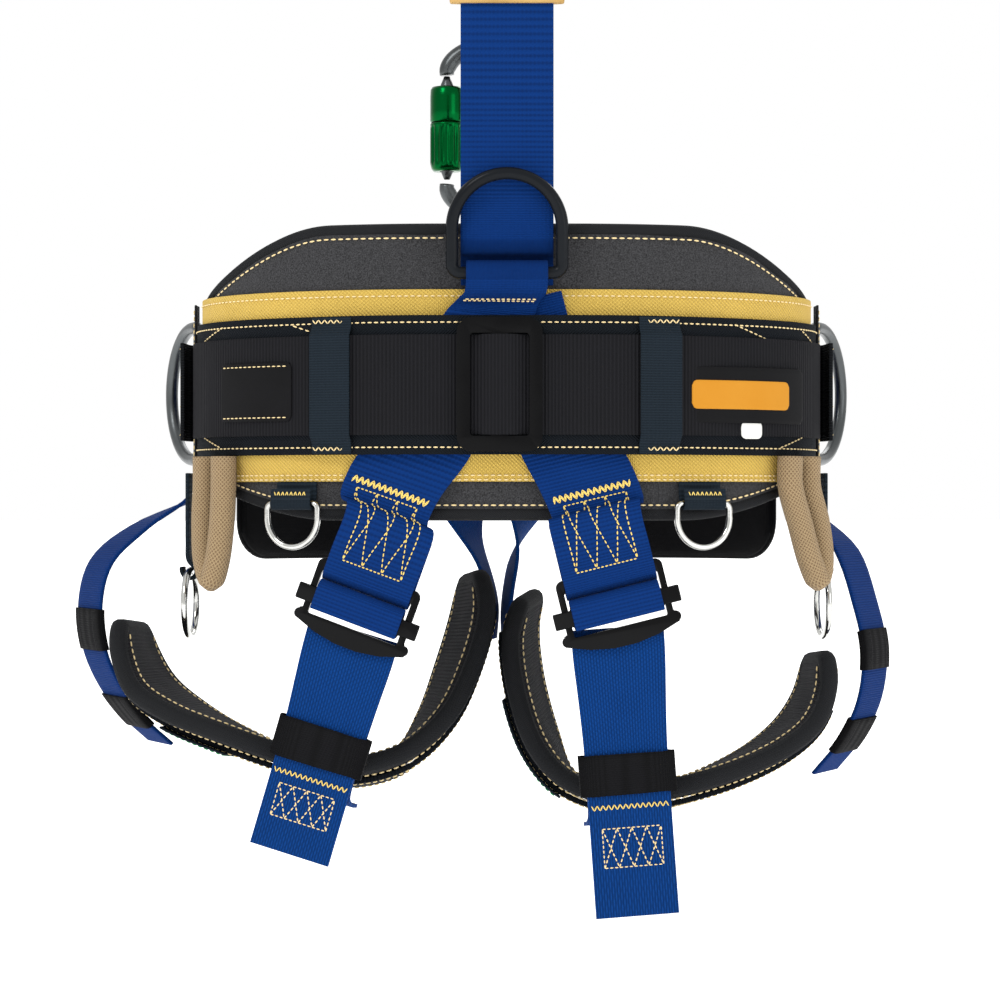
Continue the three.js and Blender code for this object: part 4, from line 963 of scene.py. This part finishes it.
# ---- Hips ----
for sign, side in ((-1, "left"), (1, "right")):
    stand = stand_at(sign * 216)
    bar_out = load_inner(216) + 5
    loop = 3.6 + GAP + HEAVY / 2
    frontward = sign
    turned = lambda a: (frontward * loop * math.sin(a), -bar_out - loop * math.cos(a), 0)
    _, at, route = strap("side_dee_tab_cover_" + side,
                         [(-frontward * 26, -belt_inner(190) - WEB - GAP - HEAVY / 2 - 0.4, 0),
                          (-frontward * 12, -bar_out - loop + 1, 0),
          turned(0), turned(0.8), turned(1.6), turned(2.4), turned(3.0)], (0, 0, -frontward), 56, HEAVY,
          black_web, "black_webbing", ["side_dee_tab_" + side],
          to_world=lambda p, stand=stand: stand @ p)
    for v in (-0.44, -0.15, 0.15, 0.44):
        tan.row(lambda t: at(mix(0.03, 0.3, t), v,
                             (1 if (at(0.1, 0, 1) - at(0.1, 0,
                                                       0)).x * sign > 0 else -1) * (HEAVY / 2 + 0.35)),
                                                       pitch=3.2)

    # wing pad: smooth cover, crowned, with a piped edge
    w0, w1 = (-345, -238) if sign < 0 else (238, 345)

    def wing_rim(t, inset=0.0):
        corner, left, right, low, high = 22 - inset, w0 + inset, w1 - inset, -97 + inset, 58 - inset
        sides = [((left + corner, high - corner), 90), ((left + corner, low + corner), 180),
                 ((right - corner, low + corner), 270), ((right - corner, high - corner), 0)]
        points = []
        for (cx, cz), first in sides:
            points += [Vector((cx + corner * math.cos(math.radians(first + a)),
                               cz + corner * math.sin(math.radians(first + a)), 0)) for a in range(0, 91, 10)]
        return points

    def wing_place(u, v, w):
        s, z = mix(w0 + 1.5, w1 - 1.5, 0.5 - 0.5 * math.cos(math.pi * u)), -19.5 + v * 152
        edge = min(s - w0, w1 - s)
        inset = 22 - math.sqrt(max(0, 22 ** 2 - (22 - min(edge, 22)) ** 2))
        z = max(-97 + inset + 1.5, min(58 - inset - 1.5, -19.5 + (z + 19.5) * (1 - inset / 77)))
        rim = min(1, (0.5 - abs(v)) * 8, edge / 12)
        full = 0.45 + 0.55 * math.sqrt(max(0, 1 - (1 - rim) ** 2))
        return on_waist(s, -4.5 - w * 9 * full - 0.6 * noise.noise(Vector((s * 0.04, z * 0.04, 9))) * rim, z)

    wing = slab("wing_pad_cover_" + side, wing_place, (107, 155), (40, 44), smooth_black,
                slot="smooth_padding", replaces=["wing_pad_" + side], bevel=0)
    rim = [on_waist(p.x, -6.6, p.y) for p in evenly(wing_rim(0, 2.0), 150)]
    tube("wing_piping_" + side, rim, 2.1, smooth_black, "smooth_padding", closed=True, sides=8)
    inner_rim = [on_waist(p.x, -9.3, p.y) for p in evenly(wing_rim(0, 7.0), 150)]
    tan.row(lambda t: inner_rim[int(t * 150) % 150], pitch=3.8, radius=0.4)

    # rope tool loop
    stand = stand_at(sign * 158)
    out = STRAP + 7.2 + 1.2
    splay = 0 if sign < 0 else 16
    top_z, drop, half = -37.8, 68, 9
    loop_route = Route([(-half, -out, top_z), (-half, -out, top_z - 16),
                        (-half * 0.98 + splay * 0.5, -out - 1, top_z - drop * 0.55),
                        (-half * 0.62 + splay * 0.85, -out - 2, top_z - drop * 0.86),
                        (splay, -out - 2, top_z - drop),
                        (half * 0.62 + splay * 0.85, -out - 2, top_z - drop * 0.86),
                        (half * 0.98 + splay * 0.5, -out - 1, top_z - drop * 0.55),
                        (half, -out, top_z - 16), (half, -out, top_z)])
    tube("tool_loop_rope_" + side, [stand @ loop_route.at(loop_route.even(i / 90)) for i in range(91)], 7.1,
         rope, "braided_rope", ["tool_loop_" + side], sides=20)

    # lanyard tab and ring
    stand = stand_at(sign * 208)
    pivot_out, pivot_z = PAD + 10, -46.5
    tab_end = pivot_z - 56
    bight = 2 + 1.2 + WEB / 2
    _, at, route = strap("lanyard_tab_cover_" + side,
                         [(0, -pivot_out, pivot_z), (0, -pivot_out, pivot_z - 18),
                          (0, -pivot_out, pivot_z - 40), (0, -pivot_out + 0.5, tab_end + 6),
          (0, -pivot_out - 0.2 + bight, tab_end + 1.5), (0, -pivot_out + bight, tab_end - 1),
          (0, -pivot_out + bight * 0.6, tab_end - bight * 0.9),
          (0, -pivot_out - bight * 0.3, tab_end - bight - 0.4), (0, -pivot_out - bight, tab_end - 1),
          (0, -pivot_out - bight - 0.2, tab_end + 2)],
          (-1, 0, 0), lambda u: mix(20, 9, smooth(0.4, 0.62, u)), WEB, slate, "slate_webbing",
          ["lanyard_tab_" + side], to_world=lambda p, stand=stand: stand @ p)
    for z in (-78, -82):
        edge = lambda dz: (lambda t: stand @ Vector((mix(-7, 7, t), -pivot_out - WEB / 2 - 0.3, z + dz)))
        gilt.zigzag(edge(-1.2), edge(1.2), pitch=1.2)
    tube("lanyard_ring_wire_" + side,
         [stand @ (p + Vector((0, -pivot_out, tab_end - 19))) for p in ring_points(19)], 2, nickel,
         "nickel_steel",
         ["lanyard_ring_" + side], "lanyard_ring_" + side, closed=True, sides=12)

# ---- Leg loops ----
# Each loop is a cradle under the thigh: near is its rear edge and far its front edge.
LEG = {
    "left": dict(
        near=[(-222, -28, -132), (-219, -32, -150), (-210, -44, -168), (-190, -56, -180), (-160, -68, -190),
              (-124, -74, -201),
              (-90, -74, -208), (-57, -70, -201), (-33, -60, -182), (-18, -44, -153), (-11, -28, -124),
              (-13, -20, -104)],
        far=[(-214, 48, -138), (-210, 48, -152), (-198, 40, -170), (-178, 28, -185), (-150, 12, -200),
             (-118, 2, -213),
             (-90, 0, -219), (-62, 4, -211), (-48, 14, -188), (-38, 28, -160), (-29, 42, -130),
             (-25, 50, -110)],
        outer=[(-164, 36, -29.5), (-165, 37, -42), (-184, 38, -60), (-216, 34, -78), (-237, 26, -98),
               (-243, 22, -122), (-240, 18, -148),
               (-230, 14, -170), (-216, 11, -188), (-200, 8, -202)],
        inner=[(-36, 96, -26), (-31, 92, -52), (-23, 84, -80), (-13, 78, -104), (-8, 76, -126),
               (-9, 74, -146)]),
    "right": dict(
        near=[(183, -28, -150), (182, -32, -168), (174, -44, -186), (157, -56, -199), (128, -68, -211),
              (96, -74, -219),
              (62, -74, -224), (34, -70, -217), (17, -60, -201), (6, -44, -173), (2, -28, -141),
              (6, -20, -122)],
        far=[(179, 48, -156), (175, 46, -174), (165, 38, -190), (149, 26, -204), (124, 12, -218),
             (92, 2, -230),
             (61, 0, -233), (36, 6, -223), (26, 18, -198), (17, 32, -163), (15, 44, -135), (19, 52, -117)],
        outer=[(164, 36, -29.5), (165, 37, -42), (181, 38, -68), (200, 32, -92), (210, 28, -122),
               (215, 22, -150), (211, 16, -178),
               (200, 12, -200), (184, 9, -219)],
        inner=[(22, 96, -26), (17, 92, -54), (9, 84, -82), (3, 78, -106), (0, 76, -130), (1, 74, -154)]),
}


def leg_loop(side):
    facing = 1 if side == "left" else -1
    near, far = Route(LEG[side]["near"]), Route(LEG[side]["far"])
    if facing < 0:
        near, far = far, near

    def at(t, v, w):
        """A point on the cradle: v across from its first edge to its second, w mm off its middle."""
        un, uf = near.even(t), far.even(t)
        a, b = near.at(un), far.at(uf)
        normal = near.tangent(un).lerp(far.tangent(uf), 0.5).cross(b - a).normalized()
        return a.lerp(b, 0.5 + v) + normal * w

    inner = -1 if (at(0.5, 0, 1) - at(0.5, 0, 0)).z < 0 else 1

    def round_end(t):
        edge = min(1, min(t, 1 - t) / 0.06)
        return mix(0.5, 1, math.sqrt(max(0, 1 - (1 - edge) ** 2)))

    def pad_place(u, v, w):
        t = mix(0.004, 0.996, u)
        rim = min(1, (0.5 - abs(v)) * 7, min(t, 1 - t) * 30)
        full = 0.55 + 0.45 * math.sqrt(max(0, 1 - (1 - rim) ** 2))
        dent = 0.7 * noise.noise(Vector((t * 14, v * 3, 5 + facing))) * rim
        return at(t, v * 0.94 * round_end(t), w * 11 * full + dent)

    outer_first = inner > 0
    cover = slab("leg_pad_cover_" + side, pad_place, (300, 76), (96, 22),
                 [binding, lining] if outer_first else [lining, binding], slot="pad_mesh",
                 replaces=["leg_pad_" + side], bevel=0, lined=True)

    # binding all round, with its dashed seam
    steps = np.linspace(0.006, 0.994, 110)
    ends = np.linspace(-0.5, 0.5, 16)[1:-1]
    rim = [(t, -0.5 * 0.95 * round_end(t)) for t in steps] + [(0.994,
        v * 0.95 * round_end(0.994)) for v in ends]
    rim += [(t, 0.5 * 0.95 * round_end(t)) for t in steps[::-1]] + [(0.006,
        -v * 0.95 * round_end(0.006)) for v in ends]
    path = evenly([at(t, v, 0) for t, v in rim], 220)
    tube("leg_pad_binding_" + side, path, 5.3, binding, "black_webbing", closed=True, sides=12)
    for off, v in ((6.0, -0.37), (6.0, 0.37)):
        tan.row(lambda t: at(mix(0.02, 0.98, t), v, -inner * off), pitch=4.2, radius=0.5)
        tan.row(lambda t: at(mix(0.02, 0.98, t), v, inner * (off - 0.2)), pitch=4.2, radius=0.5)

    def web_place(u, v, w):
        return at(mix(0.09, 0.94, u), v * 45 / 76, -inner * (8 + w * 3))

    slab("leg_webbing_cover_" + side, web_place, (260, 45), (90, 6), structural, slot="structural_webbing",
         replaces=["leg_webbing_" + side])
    for v in (-0.44, 0.44):
        tan.row(lambda t: at(mix(0.1, 0.93, t), v * 45 / 76, -inner * 9.8), pitch=3.8, radius=0.5)

    # slate wrap over the webbing near the outer end, sewn with green dashes
    w0, w1 = (0.20, 0.33) if side == "left" else (0.62, 0.82)

    def wrap_place(u, v, w):
        return at(mix(w0, w1, u), v * 54 / 76, -inner * (10.6 + w * 1.4))

    slab("leg_wrap_" + side, wrap_place, (50, 54), (24, 6), slate, slot="slate_webbing")
    for v in (-0.42, 0.42):
        lime.row(lambda t: at(mix(w0 + 0.008, w1 - 0.008, t), v * 54 / 76, -inner * 11.7), pitch=3.6,
                 radius=0.5)
    for t0 in (w0 + 0.008, w1 - 0.008):
        lime.row(lambda t: at(t0, mix(-0.42, 0.42, t) * 54 / 76, -inner * 11.7), pitch=3.6, radius=0.5)

    spec = LEG[side]
    _, outer_at, _ = strap("outer_leg_strap_cover_" + side, spec["outer"],
                           lambda u: Vector((facing * mix(0.42, -0.5, smooth(0.08, 0.4, u)), 0.95, 0)),
                           38, WEB, blue, "blue_webbing", ["outer_leg_strap_" + side])
    top, bottom = Vector((1, 0, 0)), Vector((0.15 * facing, 1, 0))
    _, inner_at, _ = strap("inner_leg_strap_cover_" + side, spec["inner"],
                           lambda u: top.lerp(bottom, smooth(0, 0.6, u)),
                           lambda u: mix(38, 34, smooth(0, 0.5, u)),
                           WEB, teal, "teal_webbing", ["inner_leg_strap_" + side])

    # elastic keepers round the outer strap
    for k, (u0, length) in enumerate(((0.62, 0.1), (0.86, 0.11))):
        def wound(u, v, w):
            turn = 2 * math.pi * u
            squareness = math.copysign(abs(math.cos(turn)) ** 0.3, math.cos(turn))
            through = math.copysign(abs(math.sin(turn)) ** 0.5, math.sin(turn))
            return outer_at(u0 + v * length, 0.53 * squareness, (2.2 + w * 1.4) * through)

        slab("outer_keeper_%s_%d" % (side, k + 1), wound, (84, 22), (48, 6), elastic,
             slot="elastic_webbing", bevel=0)
    return outer_at, inner_at, at


legs = {side: leg_loop(side) for side in LEG}

# ---- Front webbing, rope bridge, connector ----
FRONT_OUT = 9 + GAP
waist_strip("front_webbing_cover", 226, 2 * HALF_WAIST - 226, -22.5, 22.5, FRONT_OUT, WEB, blue,
            "blue_webbing", ["front_webbing"], steps=(120, 6))
for z in (19.5, -19.5):
    tan.row(lambda t: on_waist(mix(228, 262, t), -FRONT_OUT - WEB - 0.35, z), pitch=3.4)
    tan.row(lambda t: on_waist(-mix(228, 262, t), -FRONT_OUT - WEB - 0.35, z), pitch=3.4)
bridge = Route([(-114, 87, 14), (-98, 102, 34), (-62, 118, 66), (-22, 128, 94), (6, 128, 94), (54, 118, 66),
                (96, 102, 34), (114, 87, 14)])
tube("rope_bridge_rope", [bridge.at(bridge.even(i / 110)) for i in range(111)], 6.4, rope, "braided_rope",
     ["rope_bridge"], sides=20)

centre = Vector((-8, 128, 168.3))
HALF_W, HALF_H, HALF_GATE = 28.8, 49.8, 31.0
spine = Route([(-HALF_W, 0, HALF_GATE + 3), (-HALF_W, 0, HALF_GATE + 6), (-HALF_W + 4, 0, HALF_H - 6),
               (-HALF_W + 14, 0, HALF_H), (0, 0, HALF_H),
               (HALF_W - 12, 0, HALF_H - 4), (HALF_W - 2, 0, HALF_H - 18), (HALF_W, 0, 0),
               (HALF_W - 2, 0, 18 - HALF_H), (HALF_W - 12, 0, 4 - HALF_H),
               (0, 0, -HALF_H), (-HALF_W + 14, 0, -HALF_H), (-HALF_W + 4, 0, 6 - HALF_H),
               (-HALF_W, 0, -HALF_GATE - 6), (-HALF_W, 0, -HALF_GATE - 3)])
tube("connector_body", [centre + spine.at(spine.even(i / 140)) for i in range(141)],
     lambda u: 5.1 * (1 - 0.12 * (1 - smooth(0, 0.03, min(u, 1 - u)))),
     gunmetal, "forged_steel", ["carabiner_body"], "carabiner", sides=20)
gate_line = [centre + Vector((-HALF_W, 0, z)) for z in np.linspace(-HALF_GATE, HALF_GATE + 2, 24)]
tube("connector_gate", gate_line, lambda u: 4.1 * math.sqrt(max(0.2, min(1, min(u, 1 - u) * 12))), gunmetal,
     "forged_steel", ["carabiner_gate"], "gate", sides=20)


def lathed(name, profile, material, slot, replaces, body, knurl=0, depth=0.0):
    """A turned tube: profile is (radius, height, fluted), spun round the gate's axis."""
    bm = bmesh.new()
    chain = [bm.verts.new((r, 0, z)) for r, z, cut in profile]
    edges = [bm.edges.new((a, b)) for a, b in zip(chain, chain[1:])]
    bmesh.ops.spin(bm, geom=chain + edges, cent=(0, 0, 0), axis=(0, 0, 1), angle=2 * math.pi, steps=96,
                   use_merge=True)
    cut_at = [z for r, z, cut in profile if cut]
    for vert in bm.verts:
        r = math.hypot(vert.co.x, vert.co.y)
        if knurl and cut_at and min(cut_at) - 0.01 <= vert.co.z <= max(cut_at) + 0.01 and r > 8:
            turn = math.atan2(vert.co.y, vert.co.x)
            shrink = 1 - depth * (0.5 - 0.5 * math.cos(knurl * turn)) / r
            vert.co.x, vert.co.y = vert.co.x * shrink, vert.co.y * shrink
    for vert in bm.verts:
        vert.co += centre + Vector((-HALF_W, 0, 0))
    return piece(name, bm, material, body, slot, replaces)


inside = 4.5
lathed("lock_sleeve_turned",
       [(inside, -26, 0), (8.4, -26, 0), (9.6, -24.4, 0), (10.2, -22, 0), (10.4, -20, 1), (10.4, -6, 1),
        (10.4, 0.5, 1), (10.2, 2, 0),
                              (10.4, 3, 0), (10.0, 4, 0), (inside, 4, 0), (inside, -26, 0)], green,
                              "green_alloy", ["lock_sleeve"], "sleeve", 16, 1.1)
lathed("lock_collar_turned",
       [(inside, 4.3, 0), (9.8, 4.3, 0), (10.4, 5.2, 0), (10.4, 12, 0), (10.4, 20, 0), (10.2, 24.5, 0),
        (9.2, 26.2, 0), (inside, 26.4, 0),
                              (inside, 4.3, 0)], green, "green_alloy", ["lock_collar"], "collar")
tube("bridge_ring_wire",
     [centre + Vector((0, p.x, p.z - 49.8 + 5.2 + GAP + 4 - 28)) for p in ring_points(28, 120)], 4,
     gunmetal, "forged_steel",
     ["bridge_ring"], "bridge_ring", closed=True, sides=16)

loop, top_z = 5.2 + 8 * GAP + WEB / 2, 218.1
pose = stand_at(HALF_WAIST)
riser_world = lambda p: pose @ p
around = lambda a: (8, -42 - loop * math.cos(a), top_z - loop * math.sin(a))
strap("front_riser_cover",
      [(8, -40, top_z + 62), (8, -43, top_z + 40), (8, -42 - loop + 1, top_z + 12), around(0), around(0.6),
       around(1.2), around(1.9),
      around(2.5), around(3.1), (8, -42 + loop - 1, top_z + 10), (8, -38.4, top_z + 20)], (1, 0, 0), 25,
      WEB, black_web, "black_webbing", ["front_riser"],
      to_world=riser_world)

# ---- Labels and tags ----
def label(name, x0, x1, z0, z1, out, thickness, material, slot, bevel=0.4):
    s0, s1 = s_at(x0, out), s_at(x1, out)

    def place(u, v, w):
        s = mix(s0, s1, u)
        corner = 3.0
        edge = min(u, 1 - u) * abs(s1 - s0)
        inset = corner - math.sqrt(max(0, corner ** 2 - (corner - min(edge, corner)) ** 2))
        z = mix(z0 + inset, z1 - inset, v + 0.5)
        return on_waist(s, -out - thickness * (w + 0.5), z)

    made = slab(name, place, (s1 - s0, z1 - z0), (48, 10), material, slot=slot, bevel=bevel)
    return s0, s1, made


BELT_FACE = STRAP + HEAVY + GAP + WEB + GAP
s0, s1, _ = label("left_patch", -158, -117, -19, 13, BELT_FACE, 1.2, rubber, "black_webbing")
for z in (-17, 11):
    tan.row(lambda t: on_waist(mix(s0 + 2, s1 - 2, t), -BELT_FACE - 1.5, z), pitch=3.2, radius=0.35)
label("right_patch", 92, 164, -20, 10.6, BELT_FACE, 1.6, rubber, "black_webbing")
label("right_patch_stripe", 100, 156, -12.5, 3.2, BELT_FACE + 1.6, 0.7, orange, "black_webbing")
label("right_tag", 128, 140, -28.5, -19, BELT_FACE + 0.2, 0.5, paper, "gold_twill")

for threads in (tan, gilt, lime):
    threads.finish()

floor_mesh = bpy.data.meshes.new("floor")
bm = bmesh.new()
bmesh.ops.create_grid(bm, x_segments=1, y_segments=1, size=30)
bm.to_mesh(floor_mesh)
bm.free()
floor = bpy.data.objects.new("floor", floor_mesh)
floor.location = (0, 0, cad_box[0][2] - 0.01)
bpy.context.collection.objects.link(floor)
pale = bpy.data.materials.new("pale_floor")
pale.use_nodes = True
pale.node_tree.nodes["Principled BSDF"].inputs["Base Color"].default_value = (0.93, 0.93, 0.93, 1)
pale.node_tree.nodes["Principled BSDF"].inputs["Roughness"].default_value = 1.0
pale.node_tree.nodes["Principled BSDF"].inputs["Emission Color"].default_value = (1, 1, 1, 1)
pale.node_tree.nodes["Principled BSDF"].inputs["Emission Strength"].default_value = 0.8
floor_mesh.materials.append(pale)
